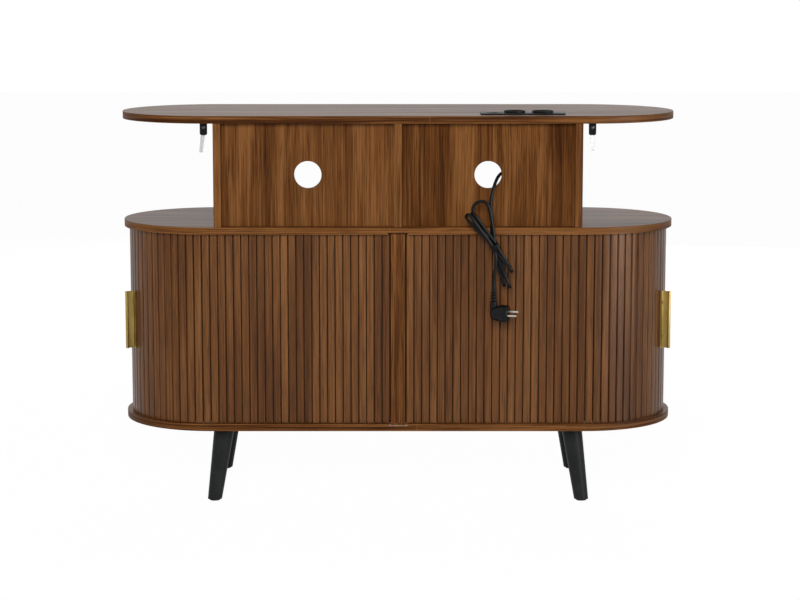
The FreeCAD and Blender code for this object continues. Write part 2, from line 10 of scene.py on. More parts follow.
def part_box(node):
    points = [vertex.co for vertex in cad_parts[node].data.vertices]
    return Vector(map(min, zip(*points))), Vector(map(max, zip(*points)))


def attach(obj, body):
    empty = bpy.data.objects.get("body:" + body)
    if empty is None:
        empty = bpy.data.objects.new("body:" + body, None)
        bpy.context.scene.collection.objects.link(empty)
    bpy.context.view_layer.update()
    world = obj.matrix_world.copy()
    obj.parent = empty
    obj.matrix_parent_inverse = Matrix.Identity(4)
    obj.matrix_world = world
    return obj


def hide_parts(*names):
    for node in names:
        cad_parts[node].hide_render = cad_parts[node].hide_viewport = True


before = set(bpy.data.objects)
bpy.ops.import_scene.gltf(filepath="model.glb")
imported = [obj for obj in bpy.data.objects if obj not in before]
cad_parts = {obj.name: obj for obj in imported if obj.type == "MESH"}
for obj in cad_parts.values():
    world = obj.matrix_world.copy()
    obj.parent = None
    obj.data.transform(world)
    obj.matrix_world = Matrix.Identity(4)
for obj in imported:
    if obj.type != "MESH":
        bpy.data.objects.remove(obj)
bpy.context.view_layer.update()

bl_info = {
    "name": "Tambour Stereo Cabinet",
    "version": (1, 0, 0),
    "blender": (4, 5, 0),
    "location": "View3D > Sidebar > Cabinet",
    "description": "Dresses the packed cabinet with slats, cord, fittings and finishes",
    "category": "Object",
}

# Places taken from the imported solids, in metres
DOORS = (("left_door", -1), ("right_door", 1))
MIDDLE_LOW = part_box("middle_board")[0][2]
BOTTOM_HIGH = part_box("bottom_board")[1][2]
BOARD_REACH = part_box("bottom_board")[1]
END_RADIUS = BOARD_REACH[1]
END_CENTRE = BOARD_REACH[0] - END_RADIUS


def colour(name, description, default):
    """A colour that a user may change, in linear values."""
    return FloatVectorProperty(
        name=name, description=description, subtype="COLOR", size=3, min=0.0, max=1.0, default=default)


def length(name, description, default):
    """A length that a user may change, in metres."""
    return FloatProperty(
        name=name, description=description, default=default, min=0.0, unit="LENGTH", precision=5)


def count(name, description, default, least):
    """A number of pieces that a user may change."""
    return IntProperty(name=name, description=description, default=default, min=least)


def power(name, description, default):
    """The power of a lamp that a user may change, in watts."""
    return FloatProperty(name=name, description=description, default=default, min=0.0, unit="POWER")


class CabinetFinishes(PropertyGroup):
    """Colours of the cabinet's finishes."""

    walnut_dark: colour("Walnut dark", "Darkest streaks of the walnut", (0.044, 0.0125, 0.0030))
    walnut_mid: colour("Walnut middle", "Ground tone of the walnut", (0.120, 0.0420, 0.0098))
    walnut_light: colour("Walnut light", "Lightest streaks of the walnut", (0.235, 0.0960, 0.0290))
    brass: colour("Brass", "Brushed brass of the pulls", (0.41, 0.295, 0.095))
    lacquer: colour("Black lacquer", "Lacquer of the legs", (0.0185, 0.0200, 0.0200))
    plastic: colour("Black plastic", "Moulded outlet, brackets and glides", (0.005, 0.005, 0.0053))
    rubber: colour("Cord rubber", "Jacket of the cord and the plug", (0.0042, 0.0044, 0.0046))
    nylon: colour("Clear nylon", "Straps of the tip restraints", (0.68, 0.70, 0.68))
    canvas: colour("Canvas", "Backing of the slats", (0.065, 0.032, 0.013))
    beech: colour("Beech", "Dowels", (0.48, 0.28, 0.12))
    core: colour("Raw core", "Board bared by a cut", (0.80, 0.56, 0.38))
    zinc: colour("Zinc", "Leg plates, studs and screws", (0.52, 0.53, 0.54))
    black_zinc: colour("Black zinc", "Screws of the tip restraints", (0.10, 0.10, 0.105))
    nickel: colour("Nickel", "Pins of the plug and the shelves", (0.62, 0.60, 0.56))


class CabinetSizes(PropertyGroup):
    """Sizes of the pieces that are modelled here."""

    slats_on_arc: count("Slats on an end", "Slats on each quarter turn", 17, 3)
    slats_straight: count("Slats on the rear", "Slats on each straight run", 23, 3)
    slats_per_link: count("Slats per link", "Slats that move as one", 3, 1)
    neutral_radius: length("Backing radius", "Radius of the slats' inner faces on the end", 0.180)
    slat_gap: length("Slat gap", "Gap between two slats", 0.0024)
    slat_thickness: length("Slat thickness", "From backing to face", 0.009)
    slat_round: length("Slat rounding", "Radius along a slat's outer edges", 0.0012)
    slat_clearance: length("Slat clearance", "Room above and below a slat", 0.0004)
    tongue_inset: length("Tongue inset", "Step between a slat's end and its tongue", 0.0020)
    tongue_height: length("Tongue height", "How far a tongue reaches into the track", 0.0040)
    backing_thickness: length("Backing thickness", "Canvas that joins the slats", 0.0008)
    backing_margin: length("Backing margin", "Bare end of a slat above and below the canvas", 0.0015)
    backing_mitre: length("Backing mitre", "Inner edge of a link's canvas drawn in for the bend", 0.00014)
    hem_width: length("Hem width", "Folded hem along the canvas", 0.012)
    pull_slat: count("Pull's slat", "Slats of an end before the one with the pull", 12, 0)
    pull_sheet: length("Pull sheet", "Sheet that a pull is bent from", 0.0018)
    pull_lip: length("Pull lip", "Middle of the lip from the middle of its slat", 0.0050)
    pull_bend: length("Pull bend", "Radius between flange and lip", 0.0022)
    pull_reach: length("Pull reach", "How far a pull stands out from its slat", 0.0210)
    pull_roll: length("Pull bead", "Radius of the rolled bead at the middle of its sheet", 0.0024)
    cord_diameter: length("Cord diameter", "Outside of the cord's jacket", 0.007)
    cord_length: length("Cord length", "From gland to plug along the cord", 1.481)


class CabinetStage(PropertyGroup):
    """Camera, light and floor."""

    camera_place: FloatVectorProperty(
        name="Camera place", description="Where the camera stands", subtype="TRANSLATION", unit="LENGTH",
        size=3, default=(-0.0043, 4.9648, 1.1615))
    camera_pitch: FloatProperty(
        name="Camera pitch", description="How far the camera looks down", subtype="ANGLE",
        default=math.radians(8.561))
    camera_lens: FloatProperty(
        name="Lens", description="Focal length on a 36 mm sensor", unit="CAMERA", default=102.19, min=10.0)
    floor_colour: colour("Floor", "Plain pale floor", (0.65, 0.65, 0.65))
    ambient: FloatProperty(name="Ambient light", description="Light from all round", default=0.09, min=0.0)
    key_power: power("Key lamp", "Lamp above the camera", 152.0)
    sheen_power: power("Sheen lamp", "Lamp seen only in gloss on one end", 150.0)
    side_power: power("Side lamps", "Lamps at both ends", 1.0)
    far_power: power("Far lamp", "Lamp on the other side", 170.0)


def finishes():
    return bpy.context.scene.cabinet_finishes


def sizes():
    return bpy.context.scene.cabinet_sizes


# Modelling by hand: primitives, selections and edit mode

# Size of the plane that a chain starts from
SEED = 0.01
# How near a vertex has to be to a place, and how near two vertices have to be to become one
NEAR = 0.0001
DOUBLES = 0.000005
# How much of a normal has to lie along an axis
FACING = 0.9


def clear_selection():
    """Deselects everything, because an operator acts on all that is selected."""
    bpy.ops.object.select_all(action="DESELECT")


def take(piece):
    """Makes one piece the only selected and active object."""
    clear_selection()
    piece.select_set(True)
    bpy.context.view_layer.objects.active = piece


def corners(name):
    """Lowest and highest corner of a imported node."""
    return [Vector(corner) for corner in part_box(name)]


def block(name, low, high):
    """A block between two corners, with its place in its mesh."""
    clear_selection()
    middle = [(a + b) / 2 for a, b in zip(low, high)]
    bpy.ops.mesh.primitive_cube_add(size=1.0, location=middle)
    piece = bpy.context.object
    piece.name = name
    piece.scale = [b - a for a, b in zip(low, high)]
    bpy.ops.object.transform_apply(location=True, rotation=True, scale=True)
    return piece


def open_edges(piece, chosen):
    """Opens a piece in edit mode with the edges selected whose two ends pass a test."""
    open_part(piece, "EDGE")
    points = piece.data.vertices
    for edge in piece.data.edges:
        edge.select = chosen(*(points[i].co for i in edge.vertices))
    edit()


def open_faces(piece, chosen):
    """Opens a piece in edit mode with the faces selected whose centre and normal pass a test."""
    open_part(piece, "FACE")
    for face in piece.data.polygons:
        face.select = chosen(face.center, face.normal)
    edit()


def open_part(piece, kind):
    """Sets what is selected in edit mode, selects nothing and leaves edit mode."""
    take(piece)
    edit()
    bpy.ops.mesh.select_mode(type=kind)
    bpy.ops.mesh.select_all(action="DESELECT")
    close()


def open_all(piece):
    """Opens a piece in edit mode with all of it selected."""
    take(piece)
    edit()
    bpy.ops.mesh.select_all(action="SELECT")


def edit():
    bpy.ops.object.mode_set(mode="EDIT")


def close():
    bpy.ops.object.mode_set(mode="OBJECT")


def clean(piece):
    """Merges doubles and points all faces outwards."""
    open_all(piece)
    bpy.ops.mesh.remove_doubles(threshold=DOUBLES)
    bpy.ops.mesh.normals_make_consistent(inside=False)
    close()


def smooth(piece, degrees=35.0):
    take(piece)
    bpy.ops.object.shade_smooth_by_angle(angle=math.radians(degrees))


def bevelled(piece, chosen, width, segments):
    """Rounds the edges that pass a test."""
    open_edges(piece, chosen)
    bpy.ops.mesh.bevel(offset=width, segments=segments, affect="EDGES")
    close()


def nudge(piece, chosen, step):
    """Moves the vertices whose place passes a test."""
    open_part(piece, "VERT")
    for vertex in piece.data.vertices:
        vertex.select = chosen(vertex.co)
    edit()
    bpy.ops.transform.translate(value=step)
    close()


def apply_modifiers(piece, *names):
    take(piece)
    for name in names:
        bpy.ops.object.modifier_apply(modifier=name)


def sheeted(piece, thickness, offset, arris, degrees):
    """Gives a surface the thickness of sheet, and rounds arrises that are sharper than an angle."""
    sheet = piece.modifiers.new("sheet", "SOLIDIFY")
    sheet.thickness = thickness
    sheet.offset = offset
    rounding = piece.modifiers.new("arris", "BEVEL")
    rounding.width = arris
    rounding.segments = 2
    rounding.limit_method = "ANGLE"
    rounding.angle_limit = math.radians(degrees)
    apply_modifiers(piece, "sheet", "arris")


def chain(name, places):
    """A row of points joined by edges, left in edit mode with all of it selected."""
    clear_selection()
    bpy.ops.mesh.primitive_plane_add(size=SEED, location=(0, 0, 0))
    piece = bpy.context.object
    piece.name = name
    open_part(piece, "VERT")
    for vertex in piece.data.vertices:
        vertex.select = vertex.index > 0
    edit()
    bpy.ops.mesh.delete(type="VERT")
    bpy.ops.mesh.select_all(action="SELECT")
    here = Vector((-SEED / 2, -SEED / 2, 0))
    for number, there in enumerate(places):
        if number == 0:
            bpy.ops.transform.translate(value=there - here)
        else:
            bpy.ops.mesh.extrude_vertices_move(TRANSFORM_OT_translate={"value": there - here})
        here = there
    bpy.ops.mesh.select_all(action="SELECT")
    return piece


def turned(name, profile, centre, axis, across, steps):
    """Turns a profile of (along, radius) pairs round an axis through a centre."""
    axis, across, centre = Vector(axis), Vector(across), Vector(centre)
    piece = chain(name, [centre + axis * along + across * radius for along, radius in profile])
    bpy.ops.mesh.spin(steps=steps, angle=math.tau, center=centre, axis=axis)
    close()
    clean(piece)
    smooth(piece)
    return piece


def copied(piece, name, matrix):
    """A copy with its own mesh, moved within the mesh."""
    twin = piece.copy()
    twin.data = piece.data.copy()
    twin.name = name
    twin.data.transform(matrix)
    bpy.context.collection.objects.link(twin)
    return twin


def joined(name, parts):
    """Joins parts into one piece."""
    take(parts[0])
    for part in parts[1:]:
        part.select_set(True)
    bpy.ops.object.join()
    parts[0].name = name
    return parts[0]


def drop(piece):
    """Removes a pattern piece once its copies are made."""
    bpy.data.objects.remove(piece, do_unlink=True)


def dress(piece, material):
    piece.data.materials.clear()
    piece.data.materials.append(material)


def dress_node(name, material):
    """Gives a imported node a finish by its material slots."""
    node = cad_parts[name]
    if not node.material_slots:
        raise RuntimeError(name + " has no material slot")
    for place in node.material_slots:
        place.link = "OBJECT"
        place.material = material


def fit(piece, material, body, replaced=()):
    """Gives a piece its finish, puts it under its body's empty, and hides the nodes it stands for."""
    dress(piece, material)
    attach(piece, body)
    if replaced:
        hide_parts(*replaced)


# Finishes


class Finish:
    """One material and short ways to wire its nodes."""

    def __init__(self, name):
        self.material = bpy.data.materials.new(name)
        self.material.use_nodes = True
        self.tree = self.material.node_tree
        self.surface = self.tree.nodes["Principled BSDF"]
        place = self.add("TexCoord").outputs
        self.where = place["Object"]
        self.normal = place["Normal"]

    def add(self, kind, *values, **settings):
        """A node with its settings, and with values or links on its first inputs."""
        node = self.tree.nodes.new("ShaderNode" + kind)
        for key, value in settings.items():
            setattr(node, key, value)
        for socket, value in zip(node.inputs, values):
            self.feed(socket, value)
        return node

    def feed(self, socket, value):
        if isinstance(value, bpy.types.NodeSocket):
            self.tree.links.new(value, socket)
        else:
            socket.default_value = value

    def tune(self, node, **values):
        """Puts values or links on inputs by their names, with _ for a space."""
        for key, value in values.items():
            self.feed(node.inputs[key.replace("_", " ")], value)
        return node

    def stretch(self, vector, scales, shift=(0.0, 0.0, 0.0)):
        return self.add("VectorMath", vector, scales, shift, operation="MULTIPLY_ADD").outputs[0]

    def noise(self, vector, scale=1.0, detail=2.0, rough=0.5, warp=0.0):
        node = self.tune(
            self.add("TexNoise"), Vector=vector, Scale=scale, Detail=detail, Roughness=rough, Distortion=warp)
        return node.outputs[0]

    def wave(self, direction, scale, warp=0.0):
        node = self.add("TexWave", wave_type="BANDS", bands_direction=direction, wave_profile="SIN")
        return self.tune(node, Vector=self.where, Scale=scale, Distortion=warp).outputs["Fac"]

    def split(self, vector):
        return self.add("SeparateXYZ", vector).outputs

    def sum(self, operation, first, second=0.0, third=0.0):
        return self.add("Math", first, second, third, operation=operation).outputs[0]

    def between(self, share, first, second):
        return self.sum("MULTIPLY_ADD", share, self.sum("SUBTRACT", second, first), first)

    def spread(self, value, low, high, to_low=0.0, to_high=1.0):
        return self.add("MapRange", value, low, high, to_low, to_high).outputs[0]

    def ramp(self, value, places, colours):
        node = self.add("ValToRGB", value)
        marks = node.color_ramp.elements
        while len(marks) < len(places):
            marks.new(1.0)
        for mark, place, rgb in zip(marks, places, colours):
            mark.position = place
            mark.color = shade(rgb)
        return node.outputs[0]

    def blend(self, share, first, second, kind="MIX"):
        node = self.add("Mix", data_type="RGBA", blend_type=kind)
        for socket, value in zip((node.inputs[0], node.inputs[6], node.inputs[7]), (share, first, second)):
            self.feed(socket, value)
        return node.outputs[2]

    def bump(self, height, strength, distance):
        node = self.tune(self.add("Bump"), Strength=strength, Distance=distance, Height=height)
        self.tune(self.surface, Normal=node.outputs[0])

    def set(self, **values):
        self.tune(self.surface, **values)
        return self.material


def shade(rgb, factor=1.0):
    """A colour as a socket takes it, lighter or darker by a factor."""
    return (*(value * factor for value in rgb), 1.0)


# Walnut: noise scales across and along the grain, for bands, streaks, fine lines and pores
FACE_GRADES = (19.0, 110.0, 430.0, 700.0)
BAND_GRADES = (45.0, 260.0, 600.0, 900.0)
ALONG_GRAIN = (1.2, 1.9, 5.0, 15.0)
WANDER_GRADE = 2.4
FACE_FIGURE = {"shares": (0.46, 0.36, 0.34), "wander": 0.012}
SLAT_FIGURE = {"shares": (0.32, 0.24, 0.26), "wander": 0.004}
BAND_FIGURE = {"shares": (0.46, 0.36, 0.34), "wander": 0.006, "grades": BAND_GRADES}
BAND_CONTRAST = 1.9
BAND_MATT = 0.16
BAND_SHIFT = 3.7
# Upright share of a normal on a board's face and on its edge
EDGE_TURN = (0.75, 0.35)
# Slats: how far a slat's tone moves its figure along the grain, and how much it changes the colour
SLAT_JUMP = 0.4
SLAT_CONTRAST = 0.07
WOOD_STOPS = (0.38, 0.50, 0.63)
PORE_RANGE = (0.36, 0.47)
PORE_SHADOW = (0.62, 1.04)
SEAM_LINE = (0.0004, 0.0011)
SEAM_LIFT = 0.16
CORE_MARGIN = 0.0003
CORE_GRAIN = 1600.0
# The notch: half its width and where it starts in depth
NOTCH_REACH = (0.0217, 0.1700)
# What tarnish leaves of the brass's red, green and blue
TARNISH = (0.72, 0.66, 0.55)


def figure(finish, where, axis, shift, shares, wander, grades=FACE_GRADES):
    """Wood figure from noise drawn out along one axis: (tone from 0 to 1, pores from 0 to 1).

    Bands, streaks and fine lines have their shares of the tone, and all stray from the axis by up to wander.
    """
    stray = finish.tune(finish.add("TexNoise"), Vector=where, Scale=WANDER_GRADE, Detail=1.0)
    reach = [0.0 if place in axis else wander for place in range(3)]
    where = finish.stretch(stray.outputs["Color"], reach, where)
    scales = [
        [along if place in axis else grade for place in range(3)]
        for grade, along in zip(grades, ALONG_GRAIN)]
    broad_at, streak_at, fine_at, pore_at = [finish.stretch(where, scale, shift) for scale in scales]
    broad = finish.noise(broad_at, detail=3.0, rough=0.5, warp=0.8)
    streak = finish.noise(streak_at, detail=4.0, rough=0.6, warp=0.4)
    fine = finish.noise(fine_at, detail=2.0, rough=0.5)
    pore = finish.noise(pore_at, detail=1.0, rough=0.5)
    tone = 0.5 - sum(shares) / 2
    for layer, share in zip((broad, streak, fine), shares):
        tone = finish.sum("MULTIPLY_ADD", layer, share, tone)
    return tone, finish.spread(pore, *PORE_RANGE)


def seam_tone(finish, tone, seam, on_edge):
    """Lightens the tone where the ends of an edge band meet on the rear."""
    x, y, _ = finish.split(finish.where)
    off = finish.sum("ABSOLUTE", finish.sum("SUBTRACT", x, seam))
    line = finish.sum("MULTIPLY", finish.spread(off, *SEAM_LINE, 1.0, 0.0), on_edge)
    line = finish.sum("MULTIPLY", line, finish.sum("GREATER_THAN", y))
    return finish.sum("MULTIPLY_ADD", line, SEAM_LIFT, tone)


def bared_core(finish, wood, levels):
    """Shows the raw core on the cut faces of the notch between two levels."""
    x, y, z = finish.split(finish.where)
    rearward = finish.split(finish.normal)[1]
    cut = finish.sum("COMPARE", z, sum(levels) / 2, (levels[1] - levels[0]) / 2 - CORE_MARGIN)
    for test in (
            ("COMPARE", x, 0.0, NOTCH_REACH[0]), ("GREATER_THAN", y, NOTCH_REACH[1]),
            ("LESS_THAN", rearward, 0.5)):
        cut = finish.sum("MULTIPLY", cut, finish.sum(*test))
    speckle = finish.noise(finish.where, scale=CORE_GRAIN, rough=0.6)
    core = finishes().core
    return finish.blend(cut, wood, finish.blend(speckle, shade(core, 0.7), shade(core)))


def walnut(name, axis, shift, edge_axis=None, tone_name=None, lift=0.0, gloss=(0.46, 0.38), level=0.10,
           seam=None, levels=None, band_lift=0.0):
    """Satin walnut laminate with its grain along an axis.

    Edge bands have their grain along edge_axis and meet at seam. Between levels the cuts show the raw core.
    """
    colours = finishes()
    finish = Finish(name)
    where = finish.where
    if tone_name:
        own = finish.add("Attribute", attribute_name=tone_name).outputs["Fac"]
        jump = finish.add("CombineXYZ", 0.0, 0.0, finish.sum("MULTIPLY", own, SLAT_JUMP))
        where = finish.stretch(jump.outputs[0], (1.0, 1.0, 1.0), where)
    tone, pore = figure(finish, where, axis, shift, **(SLAT_FIGURE if tone_name else FACE_FIGURE))
    if edge_axis:
        upright = finish.split(finish.normal)[2]
        on_edge = finish.spread(finish.sum("ABSOLUTE", upright), *EDGE_TURN)
        edge_shift = [value + BAND_SHIFT for value in shift]
        edge_tone, edge_pore = figure(finish, where, edge_axis, edge_shift, **BAND_FIGURE)
        edge_base = band_lift - 0.5 * (BAND_CONTRAST - 1.0)
        edge_tone = finish.sum("MULTIPLY_ADD", edge_tone, BAND_CONTRAST, edge_base)
        tone = finish.between(on_edge, tone, edge_tone)
        pore = finish.between(on_edge, pore, edge_pore)
    if tone_name:
        tone = finish.sum("MULTIPLY_ADD", finish.sum("SUBTRACT", own, 0.5), SLAT_CONTRAST, tone)
    if lift:
        tone = finish.sum("ADD", tone, lift)
    if seam is not None:
        tone = seam_tone(finish, tone, seam, on_edge)
    wood = finish.ramp(tone, WOOD_STOPS, (colours.walnut_dark, colours.walnut_mid, colours.walnut_light))
    shadow = finish.spread(pore, 0.0, 1.0, *PORE_SHADOW)
    dark = finish.add("CombineXYZ", shadow, shadow, shadow)
    wood = finish.blend(1.0, wood, dark.outputs[0], "MULTIPLY")
    if levels:
        wood = bared_core(finish, wood, levels)
    finish.bump(finish.sum("MULTIPLY_ADD", pore, 0.6, tone), strength=0.18, distance=0.0003)
    rough = finish.spread(tone, 0.35, 0.65, *gloss)
    if edge_axis:
        rough = finish.sum("MULTIPLY_ADD", on_edge, BAND_MATT, rough)
    return finish.set(Base_Color=wood, Roughness=rough, Specular_IOR_Level=level)


def brass_finish():
    """Brass brushed along the pull, with fine scratches and a little tarnish."""
    finish = Finish("brushed_brass")
    brush = finish.noise(finish.stretch(finish.where, (2600.0, 2600.0, 24.0)), detail=3.0, rough=0.6)
    stain = finish.noise(finish.stretch(finish.where, (60.0, 60.0, 22.0)), detail=3.0, rough=0.55)
    base = finishes().brass
    worn = [value * share for value, share in zip(base, TARNISH)]
    tint = finish.blend(finish.spread(stain, 0.40, 0.70), shade(base), shade(worn))
    finish.bump(brush, strength=0.12, distance=0.0001)
    return finish.set(Base_Color=tint, Metallic=1.0, Roughness=finish.spread(brush, 0.3, 0.7, 0.34, 0.50))


def moulded(name, rgb, rough, grain, strength, gloss_level=0.25):
    """Moulded plastic, rubber or sprayed lacquer with a fine texture and soft handling marks."""
    finish = Finish(name)
    fine = finish.noise(finish.where, scale=grain)
    marks = finish.noise(finish.where, scale=38.0, detail=4.0, rough=0.6)
    dusty = [value * 1.4 + 0.001 for value in rgb]
    tint = finish.blend(finish.spread(marks, 0.45, 0.75), shade(rgb), shade(dusty))
    finish.bump(fine, strength, distance=0.0002)
    gloss = finish.spread(marks, 0.3, 0.7, rough - 0.05, rough + 0.08)
    return finish.set(Base_Color=tint, Roughness=gloss, Specular_IOR_Level=gloss_level)


def plated(name, rgb, axis):
    """Plated steel, drawn along one axis."""
    finish = Finish(name)
    scales = [900.0] * 3
    scales[axis] = 60.0
    drawn = finish.noise(finish.stretch(finish.where, scales))
    cloud = finish.noise(finish.where, scale=70.0, detail=3.0)
    tint = finish.blend(finish.spread(cloud, 0.4, 0.65), shade(rgb), shade(rgb, 0.78))
    finish.bump(drawn, strength=0.08, distance=0.0001)
    return finish.set(Base_Color=tint, Metallic=1.0, Roughness=finish.spread(drawn, 0.3, 0.7, 0.26, 0.42))


def nylon_finish():
    """Translucent nylon strap with moulded teeth."""
    finish = Finish("clear_nylon")
    cloud = finish.noise(finish.where, scale=120.0, detail=3.0)
    base = finishes().nylon
    tint = finish.blend(cloud, shade(base), shade(base, 0.86))
    finish.bump(finish.wave("Z", 160.0), strength=0.3, distance=0.0004)
    rough = finish.spread(cloud, 0.3, 0.7, 0.32, 0.46)
    return finish.set(
        Base_Color=tint, Roughness=rough, Transmission_Weight=0.35, IOR=1.5, Specular_IOR_Level=0.15)


def canvas_finish():
    """Dark woven canvas."""
    finish = Finish("backing_canvas")
    weave = finish.sum("MULTIPLY", *(finish.wave(direction, scale=380.0, warp=0.6) for direction in "XZ"))
    base = finishes().canvas
    tint = finish.blend(weave, shade(base, 0.6), shade(base, 1.7))
    finish.bump(weave, strength=0.4, distance=0.0004)
    rough = finish.spread(weave, 0.0, 1.0, 0.95, 0.85)
    return finish.set(Base_Color=tint, Roughness=rough, Specular_IOR_Level=0.2)


def beech_finish():
    """Raw beech with short flecks."""
    finish = Finish("raw_beech")
    fleck = finish.noise(finish.stretch(finish.where, (900.0, 900.0, 90.0)), detail=3.0, rough=0.6)
    base = finishes().beech
    tint = finish.blend(finish.spread(fleck, 0.35, 0.65), shade(base, 0.75), shade(base))
    finish.bump(fleck, strength=0.2, distance=0.0002)
    rough = finish.spread(fleck, 0.3, 0.7, 0.75, 0.6)
    return finish.set(Base_Color=tint, Roughness=rough, Specular_IOR_Level=0.3)


# Cord: control points near the route of the solids, with the hank's turns worked out

GLAND_END = Vector((-0.24075, 0.1310, 0.7580))
LEAD = (
    (-0.24055, 0.1312, 0.7410), (-0.23700, 0.1370, 0.7260), (-0.22950, 0.1500, 0.7140),
    (-0.21450, 0.1720, 0.7090), (-0.20450, 0.1960, 0.6935), (-0.19750, 0.2060, 0.6690),
    (-0.19450, 0.2095, 0.6450), (-0.20000, 0.2110, 0.6200))
HANK_LEAN = math.radians(24.0)
HANK_PLACE = Matrix.Translation((-0.2035, 0.2120, 0.5620)) @ Matrix.Rotation(HANK_LEAN, 4, "Y")
HANK_STEP = 0.0080
HANK_STRAIGHT = 0.0080
SWAY = (0.34, 0.72)
CORD_STEPS = 8
CORD_ROUND = 4
# Each fold: reach from the waist, place across, place behind, turn out of the hank's plane, radius
LOWER_FOLDS = (
    (0.086, 0.0150, 0.0020, 90.0, 0.012),
    (0.092, 0.0050, 0.0100, 90.0, 0.012),
    (0.062, -0.0120, 0.0200, 90.0, 0.012))
UPPER_FOLDS = (
    (0.099, -0.0055, 0.0060, 6.0, 0.019),
    (0.084, 0.0150, 0.0230, 65.0, 0.012),
    (0.086, 0.0250, 0.0275, 60.0, 0.012))
LEAD_INTO_HANK = 0.0185
TAIL_TURN = 0.030
TAIL = ((-0.20569, 0.2400, 0.5249), (-0.20149, 0.2400, 0.4970))
PLUG_TOP = Vector((-0.20149, 0.2400, 0.4750))
PLUG_RADIUS = 0.0185
PLUG_TURN = math.radians(16.0)
PIN_OFFSET = 0.0095
PIN_TILT = math.radians(19.0)
TIE_INSIDE = Vector((0.0078, 0.0178, 0.0050))
TIE_MIDDLE = 0.0140
TIE_WALL = 0.0014
TIE_CORNER = 0.0034
TIE_RIM = 0.0004
TIE_END_LEVEL = 0.003
# Each end of the tie: place across and lean in degrees
TIE_ENDS = ((0.0, 14.0), (0.0016, -9.0))
# Turned profiles as pairs of place along the axis and radius
TIE_END = ((0.0, 0.0), (0.0, 0.0011), (0.015, 0.0010), (0.016, 0.0006), (0.0162, 0.0))
PLUG_HEAD = (
    (0.0000, 0.0000), (0.0000, 0.0163), (0.0005, 0.0173), (0.0016, 0.0179), (0.0060, 0.0180),
    (0.0064, 0.0174), (0.0074, 0.0174), (0.0078, 0.0180), (0.0150, 0.0180), (0.0185, 0.0176),
    (0.0240, 0.0163), (0.0300, 0.0148), (0.0345, 0.0132), (0.0372, 0.0110), (0.0384, 0.0080),
    (0.0388, 0.0000))
PLUG_NECK = ((-0.0120, 0.0000), (-0.0112, 0.0045), (-0.0085, 0.0068), (-0.0040, 0.0079), (0.0240, 0.0076))
PLUG_PIN = ((0.0, 0.0), (0.0, 0.0020), (0.0176, 0.0020), (0.0186, 0.0016), (0.0190, 0.0008), (0.0190, 0.0))
RELIEF_RINGS = 4
RELIEF_START = 0.0262
RELIEF_PITCH = 0.0062
RELIEF_RADIUS = 0.0070
RELIEF_TAPER = 0.0005
# One ring from its foot and its radius, and the relief's end from its reach
RELIEF_RING = (
    (0.0, -0.0022), (0.0012, -0.0022), (0.0020, -0.0004), (0.0028, 0.0), (0.0042, 0.0), (0.0050, -0.0005))
RELIEF_END = ((-0.0012, 0.0044), (0.0, 0.0039), (0.0, 0.0))


def sway(start, end):
    """Two control points that carry a run of the hank straight from the tie to a fold."""
    return [start.lerp(end, share) for share in SWAY]


def fold(size, sign):
    """A fold's ends and the control points of its half turn, on the lines that touch its circle."""
    reach, across, behind, turned_out, radius = size
    out = math.radians(turned_out)
    centre = Vector((across, behind, sign * (reach - radius)))
    sideways = Vector((-sign * math.cos(out), math.sin(out), 0.0))
    apex = Vector((0.0, 0.0, sign))
    wide = radius / math.cos(math.pi / 8)
    angles = [math.pi / 8 + math.pi / 4 * k for k in range(4)]
    half_turn = [centre + wide * (math.sin(a) * apex - math.cos(a) * sideways) for a in angles]
    return centre - radius * sideways, half_turn, centre + radius * sideways


def hank_points():
    """Control points of the tied hank in its own frame, Z along the hank and Y through its layers."""
    half = HANK_STEP / 2
    points = []
    here = Vector((-half, 0.0, HANK_STRAIGHT))
    for number, (low, high) in enumerate(zip(LOWER_FOLDS, UPPER_FOLDS)):
        layer = number * HANK_STEP
        passed = Vector((here.x, layer, -HANK_STRAIGHT))
        rising = Vector((half, layer + half, -HANK_STRAIGHT))
        risen = Vector((half, layer + half, HANK_STRAIGHT))
        into, half_turn, out = fold(low, -1)
        points += [here, passed] + sway(passed, into) + half_turn + sway(out, rising) + [rising, risen]
        into, half_turn, out = fold(high, 1)
        here = Vector((-half, layer + HANK_STEP, HANK_STRAIGHT))
        if number == len(LOWER_FOLDS) - 1:
            here = Vector((half, layer + HANK_STEP + half, HANK_STRAIGHT))
        points += sway(risen, into) + half_turn + sway(out, here)
    corner = HANK_STRAIGHT + TAIL_TURN * math.tan(HANK_LEAN / 2)
    return points + [here, Vector((here.x, here.y, -corner))]


